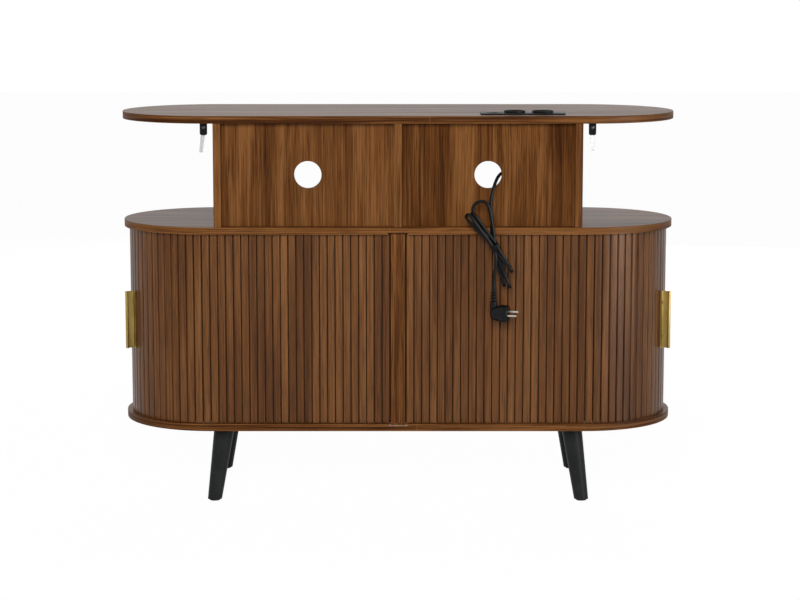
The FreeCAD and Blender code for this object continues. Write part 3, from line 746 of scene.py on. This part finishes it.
class CABINET_OT_cord(Operator):
    """Lays the mains cord from the gland through the cable hole into its tied hank and down to the plug"""

    bl_idname = "cabinet.cord"
    bl_label = "Mains Cord"

    def execute(self, context):
        rubber = moulded(
            "cord_jacket", finishes().rubber, rough=0.28, grain=900.0, strength=0.06, gloss_level=0.14)
        hank = [HANK_PLACE @ point for point in hank_points()]
        axis = (HANK_PLACE.to_3x3() @ Vector((0.0, 0.0, 1.0))).normalized()
        points = [GLAND_END] + [Vector(p) for p in LEAD] + [hank[0] + axis * LEAD_INTO_HANK] + hank
        points += [Vector(p) for p in TAIL] + [PLUG_TOP]
        curve = bpy.data.curves.new("mains_cord", "CURVE")
        curve.dimensions = "3D"
        spline = curve.splines.new("NURBS")
        spline.points.add(len(points) - 1)
        for place, point in zip(spline.points, points):
            place.co = (*point, 1.0)
        spline.order_u = 3
        spline.use_endpoint_u = True
        spline.resolution_u = CORD_STEPS
        curve.resolution_u = CORD_STEPS
        curve.bevel_depth = sizes().cord_diameter / 2
        curve.bevel_resolution = CORD_ROUND
        curve.use_fill_caps = True
        cord = bpy.data.objects.new("mains_cord", curve)
        context.collection.objects.link(cord)
        fit(cord, rubber, "cabinet", ("cord_lead", "cord_hank", "cord_tail"))
        tie = self.tie()
        plug, pins = self.plug(rubber)
        dress_node("cord_gland", rubber)
        return {"FINISHED"}

    def tie(self):
        """Band round the waist of the hank, with its twisted ends."""
        middle = Vector((0.0, TIE_MIDDLE, 0.0))
        band = block("cord_tie_band", middle - TIE_INSIDE, middle + TIE_INSIDE)
        open_faces(band, lambda centre, normal: abs(normal.z) > FACING)
        bpy.ops.mesh.delete(type="ONLY_FACE")
        close()
        bevelled(band, lambda a, b: abs(a.z - b.z) > TIE_INSIDE.z, TIE_CORNER, segments=4)
        sheeted(band, TIE_WALL, offset=1.0, arris=TIE_RIM, degrees=30.0)
        ends = []
        rear = TIE_MIDDLE + TIE_INSIDE.y + TIE_WALL + TIE_RIM
        for across, lean in TIE_ENDS:
            end = turned("tie_end", TIE_END, (0, 0, 0), (0, 0, -1), (1, 0, 0), steps=12)
            lean_over = Matrix.Rotation(math.radians(lean), 4, "X")
            end.data.transform(Matrix.Translation((across, rear, TIE_END_LEVEL)) @ lean_over)
            ends.append(end)
        tie = joined("cord_tie_band", [band] + ends)
        tie.data.transform(HANK_PLACE)
        smooth(tie)
        plastic = moulded(
            "tie_plastic", finishes().plastic, rough=0.38, grain=1500.0, strength=0.08, gloss_level=0.10)
        fit(tie, plastic, "cabinet", ("cord_tie",))
        return tie

    def plug(self, rubber):
        """Right-angle plug: round head on a column, turned a little from the cabinet, and its two pins."""
        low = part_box("plug_body")[0]
        centre = Vector((low[0], PLUG_TOP.y, low[2] + PLUG_RADIUS))
        column = Vector((PLUG_TOP.x, PLUG_TOP.y, centre.z))
        turn = Matrix.Translation(column) @ Matrix.Rotation(-PLUG_TURN, 4, "Z") @ Matrix.Translation(-column)
        body = turned("mains_plug", PLUG_HEAD, centre, (1, 0, 0), (0, 0, 1), steps=56)
        body.data.transform(turn)
        relief = list(PLUG_NECK)
        for ring in range(RELIEF_RINGS):
            foot = RELIEF_START + ring * RELIEF_PITCH
            size = RELIEF_RADIUS - ring * RELIEF_TAPER
            relief += [(foot + along, size + deep) for along, deep in RELIEF_RING]
        reach = PLUG_TOP.z - centre.z
        relief += [(reach + along, radius) for along, radius in RELIEF_END]
        neck = turned("plug_relief", relief, column, (0, 0, 1), (1, 0, 0), steps=36)
        plug = joined("mains_plug", [body, neck])
        fit(plug, rubber, "cabinet", ("plug_body",))
        pair = []
        for side in (1, -1):
            root = centre + Matrix.Rotation(-PIN_TILT, 3, "X") @ Vector((0.0, side * PIN_OFFSET, 0.0))
            pair.append(turned("plug_pin", PLUG_PIN, root, (-1, 0, 0), (0, 0, 1), steps=20))
        pins = joined("plug_pin_pair", pair)
        pins.data.transform(turn)
        fit(pins, plated("pin_plating", finishes().nickel, 0), "cabinet", ("plug_pins",))
        return plug, pins


# Each board: where the ends of its edge band meet, and how much lighter the band is
BANDS = (("bottom_board", -0.041, -0.005), ("middle_board", 0.018, 0.13), ("top_board", -0.067, 0.03))
# Each back panel: shift of its figure, how much lighter it is, and its gloss level
BACKS = (
    ("hutch_back_left", (2.0, 9.0, 3.0), 0.025, 0.05),
    ("hutch_back_right", (6.4, 2.0, 8.0), 0.055, 0.09))
BOARD_SHIFT = (1.3, 5.1, 2.7)


class CABINET_OT_boards(Operator):
    """Finishes the three boards, the uprights, the back panels and the shelves in walnut laminate"""

    bl_idname = "cabinet.boards"
    bl_label = "Boards and Panels"

    def execute(self, context):
        for number, (name, seam, band_lift) in enumerate(BANDS):
            shift = [value * number for value in BOARD_SHIFT]
            levels = [corner[2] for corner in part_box(name)]
            board = walnut(
                name + "_walnut", (0,), shift, (0, 1), gloss=(0.38, 0.31), level=0.085, seam=seam,
                levels=levels, band_lift=band_lift)
            dress_node(name, board)
        uprights = ("hutch_side_left", "hutch_divider", "hutch_side_right")
        for number, name in enumerate(uprights):
            dress_node(name, walnut(name + "_walnut", (2,), (4.0 + number, 1.0, 0.5), lift=0.02))
        for name, shift, lift, level in BACKS:
            dress_node(name, walnut(name + "_walnut", (2,), shift, lift=lift, level=level))
        upright_panel = walnut("carcass_walnut", (2,), (11.0, 3.0, 1.0))
        for name in ("inner_back_panel", "inner_side_left", "inner_side_right", "inner_divider"):
            dress_node(name, upright_panel)
        level_panel = walnut("shelf_walnut", (0,), (1.0, 13.0, 5.0), (0, 1))
        for name in ("shelf_left", "shelf_right"):
            dress_node(name, level_panel)
        dress_node("rear_stop_strip", walnut("stop_strip_walnut", (2,), (15.0, 2.0, 6.0), lift=0.02))
        return {"FINISHED"}


def on_arc(side, number):
    """Place of a slat on the quarter turn of one end."""
    angle = -side * math.pi / 2 * (number + 0.5) / sizes().slats_on_arc
    out = Matrix.Translation((0.0, sizes().neutral_radius, 0.0))
    return Matrix.Translation((side * END_CENTRE, 0.0, 0.0)) @ Matrix.Rotation(angle, 4, "Z") @ out


TONE_SEED = 20
TONE_SWING = 0.28
TONE_WAVES = (0.55, 0.21)
TONE_SCATTER = 0.2


class CABINET_OT_slats(Operator):
    """Models one rounded slat and sets it along both doors, with the canvas that joins the slats"""

    bl_idname = "cabinet.slats"
    bl_label = "Tambour Slats"

    def execute(self, context):
        size = sizes()
        self.pitch = math.pi / 2 * size.neutral_radius / size.slats_on_arc
        self.low = BOTTOM_HIGH + size.slat_clearance
        self.high = MIDDLE_LOW - size.slat_clearance
        wood = walnut(
            "slat_walnut", (2,), (0.0, 0.0, 0.0), tone_name="slat_tone", lift=0.02, gloss=(0.36, 0.30),
            level=0.20)
        canvas = canvas_finish()
        plain = self.slat("slat_plain", False)
        tracked = self.slat("slat_tracked", True)
        draw = random.Random(TONE_SEED)
        for door, side in DOORS:
            drift = draw.random() * 6.0
            tones = [self.tone(draw, drift, k) for k in range(size.slats_on_arc + size.slats_straight)]
            places = [on_arc(side, k) for k in range(size.slats_on_arc)]
            self.run(door + "_arc_slats", tracked, places, tones[size.slats_straight:], wood, door)
            self.arc_backing(door, side, canvas)
            links = range(size.slats_on_arc)
            groups = [links[k:k + size.slats_per_link] for k in links[::size.slats_per_link]]
            runs = [(f"{door}_link_{number}", "", plain, group) for number, group in enumerate(groups, 1)]
            tail = range(size.slats_on_arc, size.slats_straight)
            for body, suffix, pattern, members in runs + [(door + "_tail", "_slats", tracked, tail)]:
                places = [self.on_straight(side, k) for k in members]
                own_tones = [tones[-1 - k] for k in members]
                self.run(body + suffix, pattern, places, own_tones, wood, body)
                self.straight_backing(body, side, members, canvas)
        drop(plain)
        drop(tracked)
        return {"FINISHED"}

    def tone(self, draw, drift, number):
        """Tone of one slat: its neighbours are alike, and a few stand out."""
        short, long = (number * wave for wave in TONE_WAVES)
        wave = 0.5 + TONE_SWING * math.sin(drift + short) * math.sin(drift * 2.0 + long)
        return min(1.0, max(0.0, wave + draw.gauss(0.0, TONE_SCATTER)))

    def slat(self, name, with_tongue):
        """One slat with its inner face on Y 0, rounded outer edges and, on the track, end tongues."""
        size = sizes()
        half = (self.pitch - size.slat_gap) / 2
        deep = size.slat_thickness
        slat = block(name, (-half, 0.0, self.low), (half, deep, self.high))
        outer = deep - NEAR
        tall = (self.high - self.low) / 2
        bevelled(
            slat, lambda a, b: min(a.y, b.y) > outer and abs(a.z - b.z) > tall, size.slat_round, segments=3)
        if with_tongue:
            open_faces(slat, lambda centre, normal: abs(normal.z) > FACING)
            bpy.ops.mesh.inset(thickness=size.tongue_inset, use_individual=True)
            longer = {"value": size.tongue_height}
            bpy.ops.mesh.extrude_region_shrink_fatten(TRANSFORM_OT_shrink_fatten=longer)
            close()
            if max(v.co.z for v in slat.data.vertices) < self.high + size.tongue_height / 2:
                raise RuntimeError("the tongue went the wrong way")
        clean(slat)
        smooth(slat, 40.0)
        return slat

    def on_straight(self, side, number):
        x = side * (END_CENTRE - (number + 0.5) * self.pitch)
        return Matrix.Translation((x, sizes().neutral_radius, 0.0))

    def run(self, node, pattern, places, tones, wood, body):
        """One group of slats that moves as a body and stands for its node."""
        parts = []
        for matrix, tone in zip(places, tones):
            part = copied(pattern, node + "_part", matrix)
            layer = part.data.attributes.new("slat_tone", "FLOAT", "POINT")
            layer.data.foreach_set("value", [tone] * len(part.data.vertices))
            parts.append(part)
        group = joined(node + "_wood", parts)
        fit(group, wood, body, (node,))

    def straight_backing(self, body, side, members, canvas):
        """Flat backing behind a group of slats, drawn in at both ends so that it clears its neighbours."""
        size = sizes()
        ends = sorted(side * (END_CENTRE - k * self.pitch) for k in (members[0], members[-1] + 1))
        inner = size.neutral_radius - size.backing_thickness
        low = (ends[0], inner, self.low + size.backing_margin)
        high = (ends[1], size.neutral_radius, self.high - size.backing_margin)
        backing = block(body + "_backing", low, high)
        self.hem(backing, lambda centre, normal: normal.y < -FACING)
        for layer in (1, 2):
            depth = size.neutral_radius - layer * size.backing_thickness
            for end, sign in zip(ends, (1, -1)):
                nudge(
                    backing, lambda place: abs(place.x - end) < NEAR and abs(place.y - depth) < NEAR,
                    (sign * layer * size.backing_mitre, 0.0, 0.0))
        fit(backing, canvas, body)

    def hem(self, backing, inward):
        """Folds a hem of double thickness along the upper and lower edge of a backing."""
        size = sizes()
        for z, sign in ((self.low, 1), (self.high, -1)):
            open_all(backing)
            level = z + sign * size.hem_width
            bpy.ops.mesh.bisect(plane_co=(0, 0, level), plane_no=(0, 0, 1))
            close()
        reach = size.hem_width
        open_faces(backing, lambda centre, normal: inward(centre, normal) and (
            centre.z < self.low + reach or centre.z > self.high - reach))
        thicker = {"value": size.backing_thickness}
        bpy.ops.mesh.extrude_region_shrink_fatten(TRANSFORM_OT_shrink_fatten=thicker)
        close()
        clean(backing)

    def arc_backing(self, door, side, canvas):
        """Curved backing behind the slats of one end, spun from a strip."""
        size = sizes()
        inner = size.neutral_radius - size.backing_thickness
        middle_z = (self.low + self.high) / 2
        tall = self.high - self.low - 2 * size.backing_margin
        clear_selection()
        bpy.ops.mesh.primitive_plane_add(
            size=1.0, location=(side * END_CENTRE, (inner + size.neutral_radius) / 2, middle_z),
            rotation=(0.0, math.pi / 2, 0.0))
        backing = bpy.context.object
        backing.name = door + "_backing"
        backing.scale = (tall, size.backing_thickness, 1.0)
        bpy.ops.object.transform_apply(location=True, rotation=True, scale=True)
        open_all(backing)
        bpy.ops.mesh.spin(
            steps=2 * size.slats_on_arc, angle=math.pi / 2, center=(side * END_CENTRE, 0.0, middle_z),
            axis=(0.0, 0.0, side))
        close()
        clean(backing)
        axis = Vector((side * END_CENTRE, 0.0, 0.0))
        self.hem(backing, lambda centre, normal: (centre - axis).xy.dot(normal.xy) < -inner / 2)
        smooth(backing)
        if side * (sum(v.co.x for v in backing.data.vertices) / len(backing.data.vertices)) < END_CENTRE:
            raise RuntimeError("the backing was spun the wrong way")
        fit(backing, canvas, door)


# Angles round the end at which a pull's flange starts and ends, in radians
PULL_FLANGE = (-0.0320, 0.0140)
FLANGE_STEPS = 6
# Turns along a pull's bend and its rolled bead, in degrees
BEND_TURNS = (30, 60, 90)
BEAD_TURNS = range(0, 316, 21)
PULL_CLEARANCE = 0.00015
PULL_ARRIS = 0.0003


class CABINET_OT_fittings(Operator):
    """Bends the pulls from sheet and finishes the legs, glides, plates, screws, pins and dowels"""

    bl_idname = "cabinet.fittings"
    bl_label = "Pulls, Legs and Fixings"

    def execute(self, context):
        colours = finishes()
        brass = brass_finish()
        pattern = self.pull()
        for door, side in DOORS:
            turn = on_arc(side, sizes().pull_slat) @ Matrix.Scale(side, 4, (1.0, 0.0, 0.0))
            pull = copied(pattern, door + "_rolled_pull", turn)
            clean(pull)
            smooth(pull)
            fit(pull, brass, door, (door + "_pull",))
            dress_node(door + "_pull_screws", brass)
        drop(pattern)
        lacquer = moulded(
            "leg_lacquer", colours.lacquer, rough=0.42, grain=420.0, strength=0.05, gloss_level=0.07)
        for corner in ("front_left", "front_right", "rear_left", "rear_right"):
            dress_node("leg_" + corner, lacquer)
        plastic = moulded("glide_plastic", colours.plastic, rough=0.6, grain=1400.0, strength=0.15)
        dress_node("foot_glides", plastic)
        zinc = plated("zinc_plating", colours.zinc, 0)
        for name in ("leg_plates", "leg_plate_screws", "leg_studs"):
            dress_node(name, zinc)
        dress_node("shelf_pins", plated("nickel_plating", colours.nickel, 0))
        dress_node("carcass_dowels", beech_finish())
        return {"FINISHED"}

    def pull(self):
        """One pull in a slat's own frame: a flange along the slats, a lip and a rolled bead."""
        size = sizes()
        low, high = (corner[2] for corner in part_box("right_door_pull"))
        face = size.neutral_radius + size.slat_thickness + size.pull_sheet / 2 + PULL_CLEARANCE
        places = []
        for step in range(FLANGE_STEPS + 1):
            angle = PULL_FLANGE[0] + (PULL_FLANGE[1] - PULL_FLANGE[0]) * step / FLANGE_STEPS
            places.append((face * math.sin(angle), face * math.cos(angle) - size.neutral_radius))
        floor = places[-1][1]
        for angle in map(math.radians, BEND_TURNS):
            places.append((
                size.pull_lip + size.pull_bend * (math.sin(angle) - 1.0),
                floor + size.pull_bend * (1.0 - math.cos(angle))))
        bead = size.slat_thickness + size.pull_reach - size.pull_roll - size.pull_sheet / 2
        for angle in map(math.radians, BEAD_TURNS):
            places.append((
                size.pull_lip + size.pull_roll * (math.cos(angle) - 1.0),
                bead + size.pull_roll * math.sin(angle)))
        pull = chain("pull_pattern", [Vector((x, y, low)) for x, y in places])
        bpy.ops.mesh.extrude_region_move(TRANSFORM_OT_translate={"value": (0.0, 0.0, high - low)})
        close()
        sheeted(pull, size.pull_sheet, offset=0.0, arris=PULL_ARRIS, degrees=50.0)
        return pull


SOCKETS = ("outlet_socket_a", "outlet_socket_b")
SOCKET_WELL = 0.0195
# Earth clip: half width, half sheet, foot and head below the socket's rim, place off the wall, and bow
CLIP_HALF = 0.0022
CLIP_SHEET = 0.0005
CLIP_FOOT = 0.0150
CLIP_HEAD = 0.0030
CLIP_OFF = 0.0006
CLIP_BOW = (0.0011, 0.0017, 0.0011)
CLIP_ARRIS = 0.00015
PIN_SLEEVE = (
    (0.0, 0.0014), (0.0, 0.0025), (0.0070, 0.0025), (0.0080, 0.0023), (0.0080, 0.0018), (0.0060, 0.0014),
    (0.0, 0.0014))
PORT_OFFSET = 0.0050
# Tongue of a port: half length, near and far face from the port's middle, foot and head below the top
TONGUE_HALF = 0.0052
TONGUE_FACES = (-0.0019, -0.0001)
TONGUE_LEVELS = (0.0090, 0.0014)
TONGUE_ROUND = 0.0005
BRACKET_WIDTH = 0.0155
SCREW_HEAD = (
    (-0.0010, 0.0), (-0.0010, 0.0015), (0.0, 0.0015), (0.0, 0.0038), (0.0007, 0.0037), (0.0013, 0.0030),
    (0.0017, 0.0018), (0.0018, 0.0))
SCREW_DROP = 0.0085
SCREW_TURN = 0.4
SLOT_LENGTH = 0.0020
SLOT_WIDTH = 0.0004
SLOT_DEPTHS = (0.0011, 0.0030)


class CABINET_OT_outlet(Operator):
    """Finishes the power outlet and the tip restraints and adds contacts, port tongues and screws"""

    bl_idname = "cabinet.outlet"
    bl_label = "Outlet and Restraints"

    def execute(self, context):
        colours = finishes()
        shell = moulded(
            "outlet_plastic", colours.plastic, rough=0.42, grain=2200.0, strength=0.14, gloss_level=0.12)
        for name in ("outlet_bezel", "outlet_housing", "outlet_usb_module", *SOCKETS):
            dress_node(name, shell)
        bracket = moulded(
            "bracket_plastic", colours.plastic, rough=0.4, grain=1800.0, strength=0.12, gloss_level=0.10)
        dress_node("tip_brackets", bracket)
        dress_node("tip_straps", nylon_finish())
        metal = plated("contact_plating", colours.nickel, 2)
        for name in SOCKETS:
            self.contacts(name, metal)
        self.tongues(shell)
        self.bracket_screws(plated("bracket_screw_plating", colours.black_zinc, 0))
        return {"FINISHED"}

    def contacts(self, name, metal):
        """Earth clips at the sides of a socket's well, and the sleeves under its two holes."""
        low, high = corners(name)
        middle = (low + high) / 2
        foot = high.z - CLIP_FOOT
        rise = (CLIP_FOOT - CLIP_HEAD) / (len(CLIP_BOW) + 1)
        parts = []
        for side in (-1, 1):
            y = middle.y + side * (SOCKET_WELL - CLIP_OFF)
            clip = block(
                "earth_clip", (middle.x - CLIP_HALF, y - CLIP_SHEET, foot),
                (middle.x + CLIP_HALF, y + CLIP_SHEET, high.z - CLIP_HEAD))
            open_edges(clip, lambda a, b: abs(a.z - b.z) > rise)
            bpy.ops.mesh.subdivide(number_cuts=len(CLIP_BOW))
            close()
            for step, bow in enumerate(CLIP_BOW, 1):
                level = foot + step * rise
                nudge(clip, lambda place: abs(place.z - level) < NEAR, (0.0, -side * bow, 0.0))
            bevelled(clip, lambda a, b: True, CLIP_ARRIS, segments=1)
            parts.append(clip)
        for side in (-1, 1):
            place = (middle.x + side * PIN_OFFSET, middle.y, low.z)
            parts.append(turned("pin_sleeve", PIN_SLEEVE, place, (0, 0, 1), (1, 0, 0), steps=20))
        clips = joined(name + "_contacts", parts)
        clean(clips)
        smooth(clips)
        fit(clips, metal, "cabinet")

    def tongues(self, shell):
        """Tongue in each charging port."""
        low, high = corners("outlet_usb_module")
        middle = (low + high) / 2
        foot, head = (high.z - level for level in TONGUE_LEVELS)
        parts = []
        for side in (-1, 1):
            near, far = (middle.y + side * PORT_OFFSET + face for face in TONGUE_FACES)
            tongue = block(
                "port_tongue", (middle.x - TONGUE_HALF, near, foot), (middle.x + TONGUE_HALF, far, head))
            bevelled(tongue, lambda a, b: min(a.z, b.z) > head - NEAR, TONGUE_ROUND, segments=2)
            parts.append(tongue)
        tongue = joined("port_tongues", parts)
        smooth(tongue)
        fit(tongue, shell, "cabinet")

    def bracket_screws(self, metal):
        """Pan head screw with a cross slot on the rear face of each tip bracket."""
        high = corners("tip_brackets")[1]
        screw = turned("bracket_screw", SCREW_HEAD, (0, 0, 0), (0, 1, 0), (0, 0, 1), steps=28)
        floor, top = SLOT_DEPTHS
        for wide, tall in ((SLOT_LENGTH, SLOT_WIDTH), (SLOT_WIDTH, SLOT_LENGTH)):
            slot = block("slot_cutter", (-wide, floor, -tall), (wide, top, tall))
            cut = screw.modifiers.new("slot", "BOOLEAN")
            cut.operation = "DIFFERENCE"
            cut.solver = "EXACT"
            cut.object = slot
            apply_modifiers(screw, "slot")
            drop(slot)
        for side, word in ((-1, "left"), (1, "right")):
            x = side * (high.x - BRACKET_WIDTH / 2)
            turn = Matrix.Rotation(side * SCREW_TURN, 4, "Y")
            place = Matrix.Translation((x, high.y, high.z - SCREW_DROP)) @ turn
            head = copied(screw, "bracket_screw_" + word, place)
            clean(head)
            smooth(head)
            fit(head, metal, "cabinet")
        drop(screw)


FLOOR_SIZE = 30.0
FLOOR_GLOW = 1.045
FLOOR_GLOW_SHARE = 0.93
LAMP_AIM = Vector((0.0, 0.0, 0.45))
# Each lamp: name, place, width, the property with its power, and whether gloss and diffuse light show it
LAMPS = (
    ("lamp_key", (0.2, 4.4, 2.0), 1.6, "key_power", False, True),
    ("lamp_sheen", (-3.4, 2.6, 0.9), 2.4, "sheen_power", True, False),
    ("lamp_end_left", (-3.4, 1.2, 1.6), 1.6, "side_power", True, True),
    ("lamp_end_right", (3.4, 1.2, 1.6), 1.6, "side_power", True, True),
    ("lamp_far", (-0.8, -4.2, 0.9), 2.4, "far_power", False, True))
SENSOR_WIDTH = 36.0


class CABINET_OT_stage(Operator):
    """Sets the floor, the studio light and the camera"""

    bl_idname = "cabinet.stage"
    bl_label = "Stage"

    def execute(self, context):
        scene = context.scene
        stage = scene.cabinet_stage
        scene.view_settings.view_transform = "Standard"
        self.world(scene, stage)
        self.floor(stage)
        for name, place, width, power_name, in_gloss, in_diffuse in LAMPS:
            self.lamp(name, place, width, getattr(stage, power_name), in_gloss, in_diffuse)
        lens = bpy.data.cameras.new("photo_camera")
        lens.sensor_width = SENSOR_WIDTH
        lens.lens = stage.camera_lens
        camera = bpy.data.objects.new("photo_camera", lens)
        scene.collection.objects.link(camera)
        camera.location = stage.camera_place
        camera.rotation_euler = (math.pi / 2 - stage.camera_pitch, 0.0, math.pi)
        scene.camera = camera
        return {"FINISHED"}

    def seen(self, tree):
        """One where a ray comes from the camera, a gloss or a clear material."""
        path = tree.nodes.new("ShaderNodeLightPath")
        total = path.outputs["Is Camera Ray"]
        for name in ("Is Glossy Ray", "Is Transmission Ray"):
            either = tree.nodes.new("ShaderNodeMath")
            either.operation = "MAXIMUM"
            tree.links.new(total, either.inputs[0])
            tree.links.new(path.outputs[name], either.inputs[1])
            total = either.outputs[0]
        return total

    def world(self, scene, stage):
        """Even light from all round, which is seen as white."""
        world = bpy.data.worlds.new("studio")
        scene.world = world
        world.use_nodes = True
        tree = world.node_tree
        light = tree.nodes["Background"]
        white = tree.nodes.new("ShaderNodeBackground")
        for node, strength in ((light, stage.ambient), (white, 1.0)):
            node.inputs["Color"].default_value = (1.0, 1.0, 1.0, 1.0)
            node.inputs["Strength"].default_value = strength
        self.mixed(tree, self.seen(tree), light, white, "World Output")

    def mixed(self, tree, share, first, second, end):
        """Leads a mix of two shaders to the output."""
        mix = tree.nodes.new("ShaderNodeMixShader")
        for socket, value in zip(mix.inputs, (share, first.outputs[0], second.outputs[0])):
            tree.links.new(value, socket)
        tree.links.new(mix.outputs[0], tree.nodes[end].inputs["Surface"])

    def floor(self, stage):
        """Pale floor that is seen almost as white and keeps the object's shadow."""
        clear_selection()
        bpy.ops.mesh.primitive_plane_add(size=FLOOR_SIZE, location=(0.0, 0.0, 0.0))
        floor = bpy.context.object
        floor.name = "studio_floor"
        finish = Finish("studio_floor")
        finish.set(Base_Color=shade(stage.floor_colour), Roughness=0.9, Specular_IOR_Level=0.1)
        white = finish.tune(finish.add("Emission"), Strength=FLOOR_GLOW)
        share = finish.sum("MULTIPLY", self.seen(finish.tree), FLOOR_GLOW_SHARE)
        self.mixed(finish.tree, share, finish.surface, white, "Material Output")
        dress(floor, finish.material)

    def lamp(self, name, place, width, watts, in_gloss, in_diffuse):
        """Square lamp aimed at the middle of the cabinet."""
        light = bpy.data.lights.new(name, "AREA")
        light.shape = "SQUARE"
        light.size = width
        light.energy = watts
        lamp = bpy.data.objects.new(name, light)
        bpy.context.scene.collection.objects.link(lamp)
        lamp.visible_glossy = in_gloss
        lamp.visible_diffuse = in_diffuse
        lamp.location = place
        aim = LAMP_AIM - Vector(place)
        lamp.rotation_euler = aim.to_track_quat("-Z", "Y").to_euler()


OPERATORS = (
    CABINET_OT_cord, CABINET_OT_boards, CABINET_OT_slats, CABINET_OT_fittings, CABINET_OT_outlet,
    CABINET_OT_stage)


class VIEW3D_PT_cabinet(Panel):
    """Lists the steps that dress the cabinet and the values they use"""

    bl_idname = "VIEW3D_PT_cabinet"
    bl_label = "Tambour Stereo Cabinet"
    bl_space_type = "VIEW_3D"
    bl_region_type = "UI"
    bl_category = "Cabinet"

    def draw(self, context):
        for step in OPERATORS:
            self.layout.operator(step.bl_idname)
        scene = context.scene
        for group in (scene.cabinet_finishes, scene.cabinet_sizes, scene.cabinet_stage):
            column = self.layout.box().column()
            for key in group.__annotations__:
                column.prop(group, key)


CLASSES = (CabinetFinishes, CabinetSizes, CabinetStage, *OPERATORS, VIEW3D_PT_cabinet)


def register():
    for kind in CLASSES:
        bpy.utils.register_class(kind)
    bpy.types.Scene.cabinet_finishes = PointerProperty(type=CabinetFinishes)
    bpy.types.Scene.cabinet_sizes = PointerProperty(type=CabinetSizes)
    bpy.types.Scene.cabinet_stage = PointerProperty(type=CabinetStage)


def unregister():
    del bpy.types.Scene.cabinet_stage
    del bpy.types.Scene.cabinet_sizes
    del bpy.types.Scene.cabinet_finishes
    for kind in reversed(CLASSES):
        bpy.utils.unregister_class(kind)


def main():
    register()
    bpy.ops.cabinet.cord()
    bpy.ops.cabinet.boards()
    bpy.ops.cabinet.slats()
    bpy.ops.cabinet.fittings()
    bpy.ops.cabinet.outlet()
    bpy.ops.cabinet.stage()


if __name__ == "__main__":
    main()
